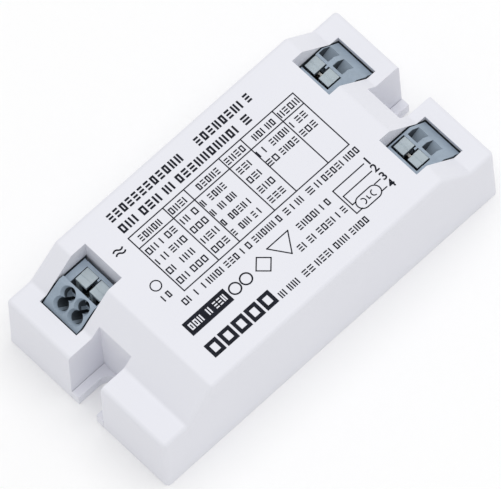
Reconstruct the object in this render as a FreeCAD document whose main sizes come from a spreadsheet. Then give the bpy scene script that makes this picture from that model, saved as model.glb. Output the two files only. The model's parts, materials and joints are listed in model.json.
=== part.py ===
import FreeCAD
import Part
import Sketcher
import math
import os
import re
from FreeCAD import Placement, Rotation, Vector

# Electronic ballast for one fluorescent lamp: a white snap-together case with a circuit board inside,
# one two-pole push-in terminal at the mains end (-X) and two at the lamp end (+X).
# Millimetres and degrees. The origin is the middle of the underside, +Z is up, +X points to the lamp end.

SIZES = {
    # Case
    "case_length": 80,
    "case_width": 40,
    "case_height": 22,
    "ledge_height": 15.6,
    "ledge_length": 5.9,
    "slope_run": 6.4,
    "lean": 0.38,
    "wall": 1.5,
    "edge_round": 0.9,
    "skirt_wall": 1.2,
    "skirt_foot": 12,
    # Screw notches and feet
    "notch_width": 8,
    "notch_depth": 7.8,
    "foot_thick": 2.5,
    "slot_width": 4.5,
    "slot_reach": 5,
    "moulding_gap": 0.06,
    # Windows over the terminals
    "mains_window_inset": 4.36,
    "mains_window_length": 11.3,
    "mains_window_width": 9.2,
    "lamp_window_inset": 3.83,
    "lamp_window_length": 10.9,
    "lamp_window_width": 9.3,
    "window_side": 4.5,
    "window_gap": 0.3,
    # Base plate and circuit board
    "floor_thick": 1.5,
    "post_height": 1.8,
    "post_radius": 1.3,
    "board_thick": 1.5,
    "board_side_gap": 1.4,
    "board_end_gap": 0.5,
    "lead_radius": 0.35,
    "wire_taper": 0.9,
    "lead_hole_gap": 0.1,
    "lead_stub": 1.2,
    # Latches
    "latch_place": 15,
    "latch_width": 6,
    "latch_thick": 1,
    "latch_height": 6,
    "latch_hook": 0.4,
    "latch_hook_height": 1,
    # Ribs and posts that hold the board
    "rib_length": 2,
    "rib_width": 1,
    "post_inset": 1.6,
    "mains_post_gap": 7.6,
    "lamp_post_gap": 8.6,
    "foot_root": 2,
    # Joining and cutting
    "overlap": 0.1,
    "passage_overlap": 0.5,
    "overshoot": 1,
    "round_share": 0.9,
    # Terminals
    "pole_pitch": 3.5,
    "mains_pole_shift": -0.45,
    "lamp_pole_shift_12": 1.2,
    "lamp_pole_shift_34": 0.7,
    "terminal_top": 17.6,
    "rim_top": 18.4,
    "rim_wall": 1.0,
    "mains_facet_share": 0.397,
    "mains_facet_drop": 3.5,
    "mains_chamber_share": 0.379,
    "mains_back_share": 0.097,
    "lamp_facet_share": 0.358,
    "lamp_facet_drop": 3.1,
    "lamp_mouth_wall_share": 0.192,
    "lamp_chamber_share": 0.298,
    "lamp_back_share": 0.152,
    "chamber_width": 3.1,
    "chamber_floor": 8,
    "divider_drop": 3.4,
    # Wire entries
    "entry_radius": 1.2,
    "entry_mouth_radius": 1.6,
    "entry_mouth_depth": 0.8,
    "entry_spread": 1.75,
    "entry_setback": 0.8,
    "entry_angle": 50,
    "entry_depth": 6,
    "upper_entry_share": 0.6,
    "lamp_entry_radius": 0.95,
    "lamp_entry_angle": 55,
    "lamp_entry_depth": 5.6,
    "lamp_mouth_width": 2,
    "lamp_mouth_length": 2.2,
    "lamp_mouth_depth": 1,
    "entry_overshoot": 3,
    # Release tongues
    "mains_tongue_tip_gap": 1.2,
    "mains_tongue_width": 2.75,
    "lamp_tongue_tip_gap": 0.45,
    "lamp_tongue_width": 2.45,
    "tongue_thick": 0.75,
    "bead_radius": 0.45,
    "bead_gap": 0.05,
    "crease_depth": 0.12,
    "crease_width": 0.5,
    "leg_width": 0.7,
    "leg_thick": 0.8,
    "leg_end": 12.2,
    # Contacts and clamp springs
    "contact_thick": 0.5,
    "contact_width": 2.5,
    "contact_leg_top": 13,
    "contact_gap": 0.15,
    "pin_width": 0.8,
    "pin_setback": 1.6,
    "pin_gap": 0.1,
    "spring_thick": 0.3,
    "spring_width": 2.4,
    "spring_top": 11.4,
    "spring_fall": 1.2,
    "spring_setback": 0.75,
    "spring_bend": 1.4,
    # Supply side of the circuit
    "fuse_x": -17.5,
    "fuse_y": 12.6,
    "fuse_radius": 4.2,
    "fuse_height": 7.5,
    "fuse_pitch": 5,
    "film_x": -16.5,
    "film_y": -14.2,
    "film_length": 13,
    "film_width": 5,
    "film_height": 10,
    "film_pitch": 10,
    "drum_x": -30,
    "drum_y": -11.6,
    "drum_radius": 4.4,
    "drum_neck_radius": 2,
    "drum_flange": 1.2,
    "drum_height": 8.6,
    "drum_wire_radius": 3.9,
    "drum_pitch": 5,
    "diode_x": -17,
    "diode_y": -8.4,
    "diode_step": 3.6,
    "diode_length": 5.2,
    "diode_radius": 1.35,
    "diode_pitch": 10,
    "can_x": -4.5,
    "can_y": -8.2,
    "can_radius": 5,
    "can_length": 16,
    "can_pitch": 5,
    "can_lead_reach": 1.6,
    "can_groove_radius": 0.5,
    "can_groove_place": 2,
    # Start and feedback parts
    "small_part_x": -7,
    "start_resistor_y": 5,
    "start_diac_y": 9,
    "sense_resistor_y": 13,
    "resistor_length": 6.5,
    "resistor_radius": 1.2,
    "resistor_pitch": 10,
    "diac_length": 3.8,
    "diac_radius": 0.95,
    "diac_pitch": 7.5,
    # Transistors and the ring transformer that drives them
    "transistor_x": 5.6,
    "transistor_lower_y": -14.6,
    "transistor_upper_y": -7.6,
    "transistor_width": 8,
    "transistor_depth": 3.2,
    "transistor_height": 11,
    "transistor_pitch": 2.28,
    "ring_x": 15,
    "ring_y": -6,
    "ring_radius": 4.1,
    "ring_bore": 2.2,
    "ring_height": 3.6,
    "ring_wire": 0.6,
    "ring_band_width": 1.6,
    "ring_wire_gap": 0.17,
    # Lamp choke
    "choke_x": 9.2,
    "choke_y": 8.4,
    "choke_core_half": 8,
    "choke_core_width": 16,
    "choke_core_height": 5,
    "choke_core_back": 2,
    "choke_core_leg": 2,
    "choke_core_middle": 4,
    "choke_bobbin_wall": 0.7,
    "choke_bobbin_gap": 0.15,
    "choke_flange": 0.9,
    "choke_flange_height": 12.6,
    "choke_wire_gap": 0.4,
    "choke_tape_thick": 0.3,
    "choke_tape_inset": 0.5,
    "choke_pin_pitch": 8,
    # Capacitors and thermistor on the lamp side
    "resonant_x": 20.9,
    "resonant_y": 9,
    "resonant_length": 12,
    "resonant_width": 4.4,
    "resonant_height": 10,
    "resonant_pitch": 10,
    "block_x": 22.2,
    "block_y": -8.5,
    "block_length": 12,
    "block_width": 3.4,
    "block_height": 9,
    "block_pitch": 10,
    "snubber_x": 15,
    "snubber_y": -14.2,
    "snubber_length": 7.2,
    "snubber_width": 3,
    "snubber_height": 6,
    "snubber_pitch": 5,
    "thermistor_x": 27,
    "thermistor_radius": 3.4,
    "thermistor_thick": 2.6,
    "thermistor_pitch": 5,
    # The room that the layout above was drawn for
    "layout_reach": 24.07,
    "layout_width": 40,
    "layout_headroom": 15.7,
}

# What the layout follows when the case gets smaller, as formulas of the sheet
SHARES = {
    "share_x": "min(1; (case_length / 2 - lamp_window_inset - lamp_window_length - skirt_wall)"
               " / layout_reach)",
    "share_y": "min(1; case_width / layout_width)",
    "share_z": "min(1; (case_height - wall - floor_thick - post_height - board_thick)"
               " / layout_headroom)",
    "share_xy": "min(share_x; share_y)",
    "share_xz": "min(share_x; share_z)",
    "share_yz": "min(share_y; share_z)",
}
FOLLOWS = {
    "share_x": """fuse_x film_x drum_x diode_x can_x small_part_x transistor_x ring_x choke_x resonant_x block_x
        snubber_x thermistor_x fuse_pitch film_length film_pitch drum_pitch diode_length diode_pitch
        can_pitch resistor_length resistor_pitch diac_length diac_pitch transistor_width transistor_pitch
        choke_core_half choke_core_back choke_flange resonant_width block_width snubber_length
        snubber_pitch thermistor_thick""",
    "share_y": """window_side mains_window_width lamp_window_width pole_pitch mains_pole_shift lamp_pole_shift_12
        lamp_pole_shift_34 chamber_width mains_tongue_width lamp_tongue_width lamp_mouth_width
        contact_width spring_width fuse_y film_y film_width drum_y diode_y diode_step can_y can_length
        can_lead_reach start_resistor_y start_diac_y sense_resistor_y transistor_lower_y
        transistor_upper_y transistor_depth ring_y choke_y choke_core_width choke_core_leg
        choke_core_middle choke_pin_pitch resonant_y resonant_length resonant_pitch block_y block_length
        block_pitch snubber_y snubber_width thermistor_pitch""",
    "share_z": """fuse_height film_height drum_height drum_flange transistor_height ring_height choke_core_height
        choke_flange_height resonant_height block_height snubber_height""",
    "share_xy": "fuse_radius drum_radius drum_neck_radius drum_wire_radius ring_radius ring_bore",
    "share_xz": "can_radius",
    "share_yz": "diode_radius resistor_radius diac_radius thermistor_radius",
}
SHARE_OF = {word: share for share, words in FOLLOWS.items() for word in words.split()}

doc = FreeCAD.newDocument("lamp_ballast")
sheet = doc.addObject("Spreadsheet::Sheet", "sizes")
cells = {**SIZES, **{word: f"={formula}" for word, formula in SHARES.items()}}
for row, (word, content) in enumerate(cells.items(), start=1):
    sheet.set(f"A{row}", word)
    sheet.set(f"B{row}", str(content))
    sheet.setAlias(f"B{row}", word)
doc.recompute()

# Places worked out from the sheet, as formulas
END = "(case_length / 2)"
SIDE = "(case_width / 2)"
SLOPE_FOOT = f"({END} - ledge_length)"
SLOPE_HEAD = f"({SLOPE_FOOT} - slope_run)"
SLOPE_RATE = "((case_height - ledge_height) / slope_run)"
SLOPE_SHIFT = f"(wall * tan(atan({SLOPE_RATE}) / 2))"
NOTCH_FLOOR = f"({END} - notch_depth)"
NOTCH_SIDE = "(notch_width / 2)"
BOARD_FOOT = "(floor_thick + post_height)"
BOARD_TOP = f"({BOARD_FOOT} + board_thick)"
LEAD_FOOT = f"({BOARD_FOOT} - lead_stub)"
BEAD_HEIGHT = "(terminal_top - bead_radius)"
ABOVE = "(case_height + 5 * overshoot)"
PLATE_END = f"({END} - wall - moulding_gap)"
PLATE_SIDE = f"({SIDE} - wall - moulding_gap)"
BOARD_END = f"({END} - wall - board_end_gap)"
BOARD_SIDE = f"({SIDE} - wall - board_side_gap)"
MAINS_BLOCK = "(mains_window_length - 2 * window_gap)"
LAMP_BLOCK = "(lamp_window_length - 2 * window_gap)"

WINDOWS = {
    "mains": {
        "facing": -1,
        "out": f"({END} - mains_window_inset)",
        "length": "mains_window_length",
        "width": "mains_window_width",
        "middle": f"({SIDE} - window_side - mains_window_width / 2)",
    },
    "lamp_12": {
        "facing": 1,
        "out": f"({END} - lamp_window_inset)",
        "length": "lamp_window_length",
        "width": "lamp_window_width",
        "middle": f"({SIDE} - window_side - lamp_window_width / 2)",
    },
    "lamp_34": {
        "facing": 1,
        "out": f"({END} - lamp_window_inset)",
        "length": "lamp_window_length",
        "width": "lamp_window_width",
        "middle": f"(-{SIDE} + window_side + lamp_window_width / 2)",
    },
}

nodes = []
board_holes = []


def named(text):
    """The formula with each size's name pointing at the sheet, times its share where it has one."""
    def pointed(match):
        word = match.group()
        if word in SHARE_OF:
            return f"(sizes.{word} * sizes.{SHARE_OF[word]})"
        return f"sizes.{word}" if word in SIZES else word
    return re.sub(r"[a-z_][a-z_0-9]*", pointed, text)


def bind(thing, **formulas):
    """Ties properties of a thing to formulas; two underscores in a name stand for a dot."""
    for path, text in formulas.items():
        thing.setExpression(path.replace("__", "."), named(str(text)))


def part_body(label):
    """An empty body that will become one node."""
    body = doc.addObject("PartDesign::Body", label)
    body.Label = label
    nodes.append(body)
    return body


def sketch_on(body, name, plane, offset="0"):
    """An empty sketch on one of the body's own planes, moved along the plane's normal."""
    sketch = body.newObject("Sketcher::SketchObject", name)
    origin = next(item for item in body.Origin.OriginFeatures if item.Role == plane)
    sketch.AttachmentSupport = [(origin, "")]
    sketch.MapMode = "FlatFace"
    bind(sketch, AttachmentOffset__Base__z=offset)
    return sketch


def pin_point(sketch, item, point, x, y, start):
    """Ties one point of a sketch's geometry to its place."""
    for kind, text, value in (("DistanceX", x, start.x), ("DistanceY", y, start.y)):
        number = sketch.addConstraint(Sketcher.Constraint(kind, -1, 1, item, point, value))
        sketch.setExpression(f"Constraints[{number}]", named(str(text)))


def outline(body, name, plane, corners, offset="0"):
    """A closed outline of straight edges through the corners."""
    sketch = sketch_on(body, name, plane, offset)
    count = len(corners)
    turns = [2 * math.pi * i / count for i in range(count)]
    starts = [Vector(math.cos(turn), math.sin(turn), 0) for turn in turns]
    for i in range(count):
        sketch.addGeometry(Part.LineSegment(starts[i], starts[(i + 1) % count]), False)
    for i in range(count):
        sketch.addConstraint(Sketcher.Constraint("Coincident", i, 2, (i + 1) % count, 1))
    for i, (x, y) in enumerate(corners):
        pin_point(sketch, i, 1, x, y, starts[i])
    return sketch


def circles(body, name, plane, rounds, offset="0"):
    """Circles, each given by its centre and radius."""
    sketch = sketch_on(body, name, plane, offset)
    for i, (x, y, radius) in enumerate(rounds):
        start = Vector(i + 1, 1, 0)
        sketch.addGeometry(Part.Circle(start, Vector(0, 0, 1), 1), False)
        pin_point(sketch, i, 3, x, y, start)
        number = sketch.addConstraint(Sketcher.Constraint("Radius", i, 1))
        sketch.setExpression(f"Constraints[{number}]", named(str(radius)))
    return sketch


def grow(body, name, sketch, length, side="Symmetric", kind="Pad"):
    """Pads or pockets a sketch."""
    feature = body.newObject(f"PartDesign::{kind}", name)
    feature.Profile = sketch
    feature.SideType = side
    bind(feature, Length=length)
    return feature


def body_block(body, name, x, y, z, kind="Additive"):
    """Adds or cuts a block given by its low and high sides along each axis."""
    block = body.newObject(f"PartDesign::{kind}Box", name)
    place_block(block, x, y, z)
    return block


def place_block(block, x, y, z):
    """Ties a block's size and place to its low and high sides."""
    sides = {"Length": x, "Width": y, "Height": z}
    for size, (low, high) in sides.items():
        bind(block, **{size: f"({high}) - ({low})"})
    bind(block, Placement__Base__x=x[0], Placement__Base__y=y[0], Placement__Base__z=z[0])


def block(name, x, y, z):
    """A loose block, to be joined or cut."""
    box = doc.addObject("Part::Box", name)
    place_block(box, x, y, z)
    return box


TURNS = {
    "x": Rotation(Vector(0, 1, 0), 90),
    "y": Rotation(Vector(1, 0, 0), -90),
    "z": Rotation(),
}


def rod(name, radius, length, start, along="z"):
    """A loose round bar from its start point along an axis."""
    bar = doc.addObject("Part::Cylinder", name)
    bar.Placement = Placement(Vector(), TURNS[along])
    bind(bar, Radius=radius, Height=length)
    bind(bar, Placement__Base__x=start[0], Placement__Base__y=start[1], Placement__Base__z=start[2])
    return bar


def joined(label, shapes, keep=True):
    """One solid from several that overlap or touch."""
    result = doc.addObject("Part::MultiFuse", label)
    result.Shapes = shapes
    result.Label = label
    if keep:
        nodes.append(result)
    return result


def hollowed(label, base, tool, keep=True):
    """One solid less another."""
    result = doc.addObject("Part::Cut", label)
    result.Base = base
    result.Tool = tool
    result.Label = label
    if keep:
        nodes.append(result)
    return result


def lead(owner, number, x, y, top=None):
    """A wire lead down through the board, whose hole is drilled to suit."""
    top = top or f"({BOARD_TOP} + lead_radius)"
    board_holes.append((x, y, "(lead_radius + lead_hole_gap)"))
    return rod(f"{owner}_lead_{number}", "lead_radius", f"{top} - {LEAD_FOOT}", (x, y, LEAD_FOOT))


def edges_where(feature, test):
    """The names of a feature's edges that pass a test."""
    return [f"Edge{i}" for i, edge in enumerate(feature.Shape.Edges, start=1) if test(edge)]


def roof_line(x_in, x_out, foot, drop, sign):
    """Outline of a wall under the stepped roof, from an inner to an outer distance from the middle."""
    rise = f"({SLOPE_FOOT} - {x_in}) * {SLOPE_RATE}"
    corners = [
        (x_in, foot),
        (x_out, foot),
        (x_out, f"ledge_height - {drop}"),
        (SLOPE_FOOT, f"ledge_height - {drop}"),
        (x_in, f"ledge_height + {rise} - {drop}"),
    ]
    return [(f"{sign} * {x}", z) for x, z in corners]


def window_wall(x_in, x_out, foot, drop, sign):
    """Outline of a wall that starts under the flat lid and ends under the ledge."""
    corners = [
        (x_in, foot),
        (x_out, foot),
        (x_out, f"ledge_height - {drop}"),
        (SLOPE_FOOT, f"ledge_height - {drop}"),
        (SLOPE_HEAD, f"case_height - {drop}"),
        (x_in, f"case_height - {drop}"),
    ]
    return [(f"{sign} * {x}", z) for x, z in corners]


def make_cover():
    """The white case: a stepped shell with notch wells, window wells, ribs and latch recesses."""
    body = part_body("housing_cover")
    end_at_ledge = f"({END} - lean * ledge_height / case_height)"
    half = [(END, "0"), (end_at_ledge, "ledge_height"), (SLOPE_FOOT, "ledge_height"),
            (SLOPE_HEAD, "case_height")]
    mirrored = [(f"-{x}", z) for x, z in reversed(half)]
    grow(body, "case_block", outline(body, "case_outline", "XZ_Plane", half + mirrored), "case_width")
    for sign in (-1, 1):
        corners = [
            (f"{sign} * {SIDE}", "0"),
            (f"{sign} * ({SIDE} + overshoot)", "0"),
            (f"{sign} * ({SIDE} + overshoot)", "case_height + overshoot"),
            (f"{sign} * ({SIDE} - lean * (case_height + overshoot) / case_height)",
             "case_height + overshoot"),
        ]
        name = "side_lean_plus" if sign > 0 else "side_lean_minus"
        sketch = outline(body, name + "_outline", "YZ_Plane", corners)
        side_cut = grow(body, name, sketch, "2 * case_length", kind="Pocket")
    doc.recompute()
    rounding = body.newObject("PartDesign::Fillet", "soft_edges")
    rounding.Base = (side_cut, edges_where(side_cut, lambda edge: edge.BoundBox.ZMax > SIZES["overlap"]))
    bind(rounding, Radius="min(edge_round; wall * round_share)")
    inner_end = f"({END} - wall)"
    inner_ledge_end = f"({END} - wall - lean * (ledge_height - wall) / case_height)"
    half = [
        (f"({inner_end} + lean / case_height)", "-overshoot"),
        (inner_ledge_end, "ledge_height - wall"),
        (f"({SLOPE_FOOT} - {SLOPE_SHIFT})", "ledge_height - wall"),
        (f"({SLOPE_HEAD} - {SLOPE_SHIFT})", "case_height - wall"),
    ]
    mirrored = [(f"-{x}", z) for x, z in reversed(half)]
    sketch = outline(body, "hollow_outline", "XZ_Plane", half + mirrored)
    grow(body, "hollow", sketch, "case_width - 2 * wall", kind="Pocket")
    drop = "wall / 2"
    wall_end = f"({END} - wall / 2 - lean / 2)"
    notch_inner = f"({NOTCH_FLOOR} - skirt_wall)"
    for sign, end in ((-1, "mains"), (1, "lamp")):
        corners = roof_line(notch_inner, wall_end, "0", drop, sign)
        sketch = outline(body, f"{end}_notch_wall_outline", "XZ_Plane", corners)
        grow(body, f"{end}_notch_wall", sketch, "notch_width + 2 * skirt_wall")
    for key, window in WINDOWS.items():
        x_in = f"({window['out']} - {window['length']} - skirt_wall)"
        x_out = f"({window['out']} + skirt_wall)"
        corners = window_wall(x_in, x_out, "skirt_foot", drop, window["facing"])
        sketch = outline(body, f"{key}_window_wall_outline", "XZ_Plane", corners, f"-{window['middle']}")
        grow(body, f"{key}_window_wall", sketch, f"{window['width']} + 2 * skirt_wall")
    for i, (sign_x, sign_y) in enumerate(((-1, -1), (-1, 1), (1, -1), (1, 1)), start=1):
        x = (f"({BOARD_END} - rib_length)", f"({END} - wall / 2 - lean)")
        y = (f"({BOARD_SIDE} - rib_width)", f"({SIDE} - wall / 2)")
        z = (f"{BOARD_TOP} + moulding_gap", f"ledge_height - {drop}")
        body_block(body, f"corner_rib_{i}", along(sign_x, x), along(sign_y, y), z)
    for sign, end in ((-1, "mains"), (1, "lamp")):
        x = along(sign, (NOTCH_FLOOR, f"({END} + overshoot)"))
        body_block(body, f"{end}_notch", x, (f"-{NOTCH_SIDE}", NOTCH_SIDE), ("-overshoot", ABOVE),
                   "Subtractive")
        x = along(sign, (f"({notch_inner} - passage_overlap)", f"({NOTCH_FLOOR} + passage_overlap)"))
        z = ("-overshoot", "foot_thick + moulding_gap")
        body_block(body, f"{end}_foot_passage", x, (f"-{NOTCH_SIDE}", NOTCH_SIDE), z, "Subtractive")
    for key, window in WINDOWS.items():
        x = along(window["facing"], (f"({window['out']} - {window['length']})", window["out"]))
        y = (f"{window['middle']} - {window['width']} / 2", f"{window['middle']} + {window['width']} / 2")
        body_block(body, f"{key}_window", x, y, ("skirt_foot - overshoot", ABOVE), "Subtractive")
    for i, (sign_x, sign_y) in enumerate(((-1, -1), (-1, 1), (1, -1), (1, 1)), start=1):
        x = ("latch_place - latch_width / 2 - moulding_gap", "latch_place + latch_width / 2 + moulding_gap")
        y = (f"({SIDE} - wall - overlap)", f"({SIDE} - wall + latch_hook)")
        z = ("latch_height - latch_hook_height - moulding_gap", "latch_height + moulding_gap")
        body_block(body, f"latch_recess_{i}", along(sign_x, x), along(sign_y, y), z, "Subtractive")


def along(sign, pair):
    """A low and high side, mirrored when the sign is negative."""
    low, high = pair
    if sign > 0:
        return low, high
    return f"-({high})", f"-({low})"


def make_base_plate():
    """The floor: prongs round the notch wells, slotted feet, posts for the board and latches."""
    body = part_body("base_plate")
    prong_side = f"({NOTCH_SIDE} + skirt_wall + moulding_gap)"
    neck = f"({NOTCH_FLOOR} - skirt_wall - moulding_gap)"
    quarter = [(neck, prong_side), (PLATE_END, prong_side), (PLATE_END, PLATE_SIDE)]
    corners = [(f"{x}", f"-{y}") for x, y in reversed(quarter)] + quarter
    corners += [(f"-{x}", y) for x, y in reversed(quarter)] + [(f"-{x}", f"-{y}") for x, y in quarter]
    grow(body, "floor", outline(body, "floor_outline", "XY_Plane", corners), "floor_thick", "One side")
    foot_side = f"({NOTCH_SIDE} - moulding_gap)"
    slot_end = f"({END} - slot_reach)"
    for sign, end in ((-1, "mains"), (1, "lamp")):
        x = along(sign, (f"({neck} - foot_root)", END))
        body_block(body, f"{end}_foot", x, (f"-{foot_side}", foot_side), ("0", "foot_thick"))
        x = along(sign, (slot_end, f"({END} + overshoot)"))
        y = ("-slot_width / 2", "slot_width / 2")
        body_block(body, f"{end}_slot", x, y, ("-overshoot", "foot_thick + overshoot"), "Subtractive")
        sketch = circles(body, f"{end}_slot_round", "XY_Plane",
                         [(f"{sign} * {slot_end}", "0", "slot_width / 2")])
        grow(body, f"{end}_slot_end", sketch, "2 * (foot_thick + overshoot)", kind="Pocket")
    corner_x = f"({BOARD_END} - post_inset)"
    corner_y = f"({BOARD_SIDE} - post_inset)"
    spots = [(f"{a} * {corner_x}", f"{b} * {corner_y}") for a in (-1, 1) for b in (-1, 1)]
    spots += [("0", corner_y), ("0", f"-{corner_y}")]
    spots += [(f"-({NOTCH_FLOOR} - mains_post_gap)", "0"), (f"{NOTCH_FLOOR} - lamp_post_gap", "0")]
    sketch = circles(body, "post_rounds", "XY_Plane", [(x, y, "post_radius") for x, y in spots])
    grow(body, "posts", sketch, BOARD_FOOT, "One side")
    for i, (sign_x, sign_y) in enumerate(((-1, -1), (-1, 1), (1, -1), (1, 1)), start=1):
        x = ("latch_place - latch_width / 2", "latch_place + latch_width / 2")
        arm = (f"({PLATE_SIDE} - latch_thick)", PLATE_SIDE)
        hook = (f"({PLATE_SIDE} - overlap)", f"({PLATE_SIDE} + latch_hook)")
        body_block(body, f"latch_arm_{i}", along(sign_x, x), along(sign_y, arm), ("0", "latch_height"))
        z = ("latch_height - latch_hook_height", "latch_height")
        body_block(body, f"latch_hook_{i}", along(sign_x, x), along(sign_y, hook), z)


def pole_places(window, shift):
    """The middles of a terminal's two poles, the one nearer +Y first."""
    middle = f"({window['middle']} + {shift})"
    return f"({middle} + pole_pitch / 2)", f"({middle} - pole_pitch / 2)"


def inclined(feature, rise, facing):
    """Turns a feature so that its own Z points outwards and up at the given rise."""
    feature.Placement = Placement(Vector(), Rotation(Vector(0, facing, 0), 45))
    bind(feature, Placement__Rotation__Angle=f"(90 - {rise}) * 1 deg")


def terminal_sides(window):
    """The terminal's outer end, and its low and high sides across the case."""
    x_out = f"({window['out']} - window_gap)"
    y_half = f"({window['width']} / 2 - window_gap)"
    return x_out, (f"{window['middle']} - {y_half}", f"{window['middle']} + {y_half}")


def shape_terminal(body, name, corners, y_sides):
    """Pads the terminal's side outline across its width."""
    middle = f"(({y_sides[0]}) + ({y_sides[1]})) / 2"
    sketch = outline(body, f"{name}_outline", "XZ_Plane", corners, f"-({middle})")
    grow(body, f"{name}_block", sketch, f"({y_sides[1]}) - ({y_sides[0]})")


def cut_chambers(body, name, low, root, poles, tongue_width):
    """One clamp chamber for each pole, with the bead's groove and the pin's hole."""
    reach = "(chamber_width / 2)"
    for i, y in enumerate(poles, start=1):
        y_pair = (f"{y} - {reach}", f"{y} + {reach}")
        body_block(body, f"{name}_chamber_{i}", (low, root), y_pair, ("chamber_floor", ABOVE),
                   "Subtractive")
        sketch = circles(body, f"{name}_groove_round_{i}", "XZ_Plane",
                         [(root, BEAD_HEIGHT, "bead_radius + bead_gap")], f"-{y}")
        grow(body, f"{name}_groove_{i}", sketch, f"2 * {reach}", kind="Pocket")
        half = "(pin_width / 2 + pin_gap)"
        pin = f"({root} - pin_setback)"
        x_pair = (f"{pin} - {half}", f"{pin} + {half}")
        y_pair = (f"{y} - {half}", f"{y} + {half}")
        z_pair = (f"{BOARD_TOP} - overshoot", "chamber_floor + overshoot")
        body_block(body, f"{name}_pin_hole_{i}", x_pair, y_pair, z_pair, "Subtractive")
    x_pair = (low, f"{root} - bead_radius")
    y_pair = (f"{poles[1]} + {tongue_width} / 2", f"{poles[0]} - {tongue_width} / 2")
    z_pair = ("terminal_top - divider_drop", ABOVE)
    body_block(body, f"{name}_divider_cut", x_pair, y_pair, z_pair, "Subtractive")


def make_mains_terminal():
    """Two poles, each with two overlapping round entries in a sloping face."""
    window = WINDOWS["mains"]
    out, y_sides = terminal_sides(window)
    facet_run = f"({MAINS_BLOCK} * mains_facet_share)"
    bend = f"({out} - {facet_run})"
    chamber = f"({bend} - rim_wall)"
    root = f"(-({chamber} - {MAINS_BLOCK} * mains_chamber_share))"
    back = f"(-{root} - {MAINS_BLOCK} * mains_back_share)"
    body = part_body("mains_terminal_body")
    corners = [
        (f"-{out}", BOARD_TOP),
        (f"-{out}", "rim_top - mains_facet_drop"),
        (f"-{bend}", "rim_top"),
        (f"-{chamber}", "rim_top"),
        (f"-{chamber}", "terminal_top"),
        (f"-{back}", "terminal_top"),
        (f"-{back}", BOARD_TOP),
    ]
    shape_terminal(body, "mains", corners, y_sides)
    poles = pole_places(window, "mains_pole_shift")
    cut_chambers(body, "mains", f"-{chamber}", root, poles, "mains_tongue_width")
    rate = f"(mains_facet_drop / {facet_run})"
    for i, y in enumerate(poles, start=1):
        for lobe, reach in (("upper", "entry_setback"), ("lower", "(entry_setback + entry_spread)")):
            x = f"(-{bend} - {reach})"
            z = f"(rim_top - {reach} * {rate})"
            depth = "entry_depth" if lobe == "lower" else "(entry_depth * upper_entry_share)"
            bore = body.newObject("PartDesign::SubtractiveCylinder", f"mains_entry_{i}_{lobe}")
            inclined(bore, "entry_angle", -1)
            bind(bore, Radius="entry_radius", Height=f"{depth} + entry_overshoot")
            bind(bore, Placement__Base__x=f"{x} + {depth} * cos(entry_angle)", Placement__Base__y=y)
            bind(bore, Placement__Base__z=f"{z} - {depth} * sin(entry_angle)")
            mouth = body.newObject("PartDesign::SubtractiveCone", f"mains_mouth_{i}_{lobe}")
            inclined(mouth, "entry_angle", -1)
            flare = "(entry_mouth_radius - entry_radius)"
            bind(mouth, Radius1="entry_radius", Radius2=f"entry_radius + 2 * {flare}",
                 Height="2 * entry_mouth_depth")
            bind(mouth, Placement__Base__x=f"{x} + entry_mouth_depth * cos(entry_angle)",
                 Placement__Base__y=y)
            bind(mouth, Placement__Base__z=f"{z} - entry_mouth_depth * sin(entry_angle)")
    for i, y in enumerate(poles, start=1):
        make_pole("mains", i, f"-{chamber}", root, y)


def make_lamp_terminal(key, label, shift, first):
    """Two poles, each with one square mouth that narrows to a round bore."""
    window = WINDOWS[key]
    out, y_sides = terminal_sides(window)
    facet_run = f"({LAMP_BLOCK} * lamp_facet_share)"
    bend = f"({out} - {facet_run})"
    root = f"({bend} - {LAMP_BLOCK} * lamp_mouth_wall_share)"
    low = f"({root} - {LAMP_BLOCK} * lamp_chamber_share)"
    back = f"({low} - {LAMP_BLOCK} * lamp_back_share)"
    body = part_body(label)
    corners = [
        (out, BOARD_TOP),
        (out, "terminal_top - lamp_facet_drop"),
        (bend, "terminal_top"),
        (back, "terminal_top"),
        (back, BOARD_TOP),
    ]
    shape_terminal(body, label, corners, y_sides)
    poles = pole_places(window, shift)
    cut_chambers(body, label, low, root, poles, "lamp_tongue_width")
    rise = "lamp_entry_angle"
    for i, y in enumerate(poles, start=1):
        bore = body.newObject("PartDesign::SubtractiveCylinder", f"{label}_entry_{i}")
        inclined(bore, rise, 1)
        bind(bore, Radius="lamp_entry_radius", Height="lamp_entry_depth + entry_overshoot")
        bind(bore, Placement__Base__x=f"{bend} - lamp_entry_depth * cos({rise})", Placement__Base__y=y)
        bind(bore, Placement__Base__z=f"terminal_top - lamp_entry_depth * sin({rise})")
        mouth = body.newObject("PartDesign::SubtractiveBox", f"{label}_mouth_{i}")
        inclined(mouth, rise, 1)
        bind(mouth, Length="lamp_mouth_length", Width="lamp_mouth_width", Height="lamp_mouth_depth + entry_overshoot")
        shift_x = f"lamp_mouth_length / 2 * sin({rise}) + lamp_mouth_depth * cos({rise})"
        shift_z = f"lamp_mouth_length / 2 * cos({rise}) - lamp_mouth_depth * sin({rise})"
        bind(mouth, Placement__Base__x=f"{bend} - {shift_x}", Placement__Base__y=f"{y} - lamp_mouth_width / 2")
        bind(mouth, Placement__Base__z=f"terminal_top + {shift_z}")
    for i, y in enumerate(poles):
        make_pole("lamp", first + i, low, root, y)


def make_pole(kind, number, low, root, y):
    """What a pole holds: its release tongue, contact bar and clamp spring."""
    tip = f"({low} + {kind}_tongue_tip_gap)"
    make_tongue(f"{kind}_release_{number}", tip, root, y, f"{kind}_tongue_width")
    make_contact(f"{kind}_contact_{number}", low, root, y)
    make_spring(f"{kind}_clamp_spring_{number}", low, root, y)


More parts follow.
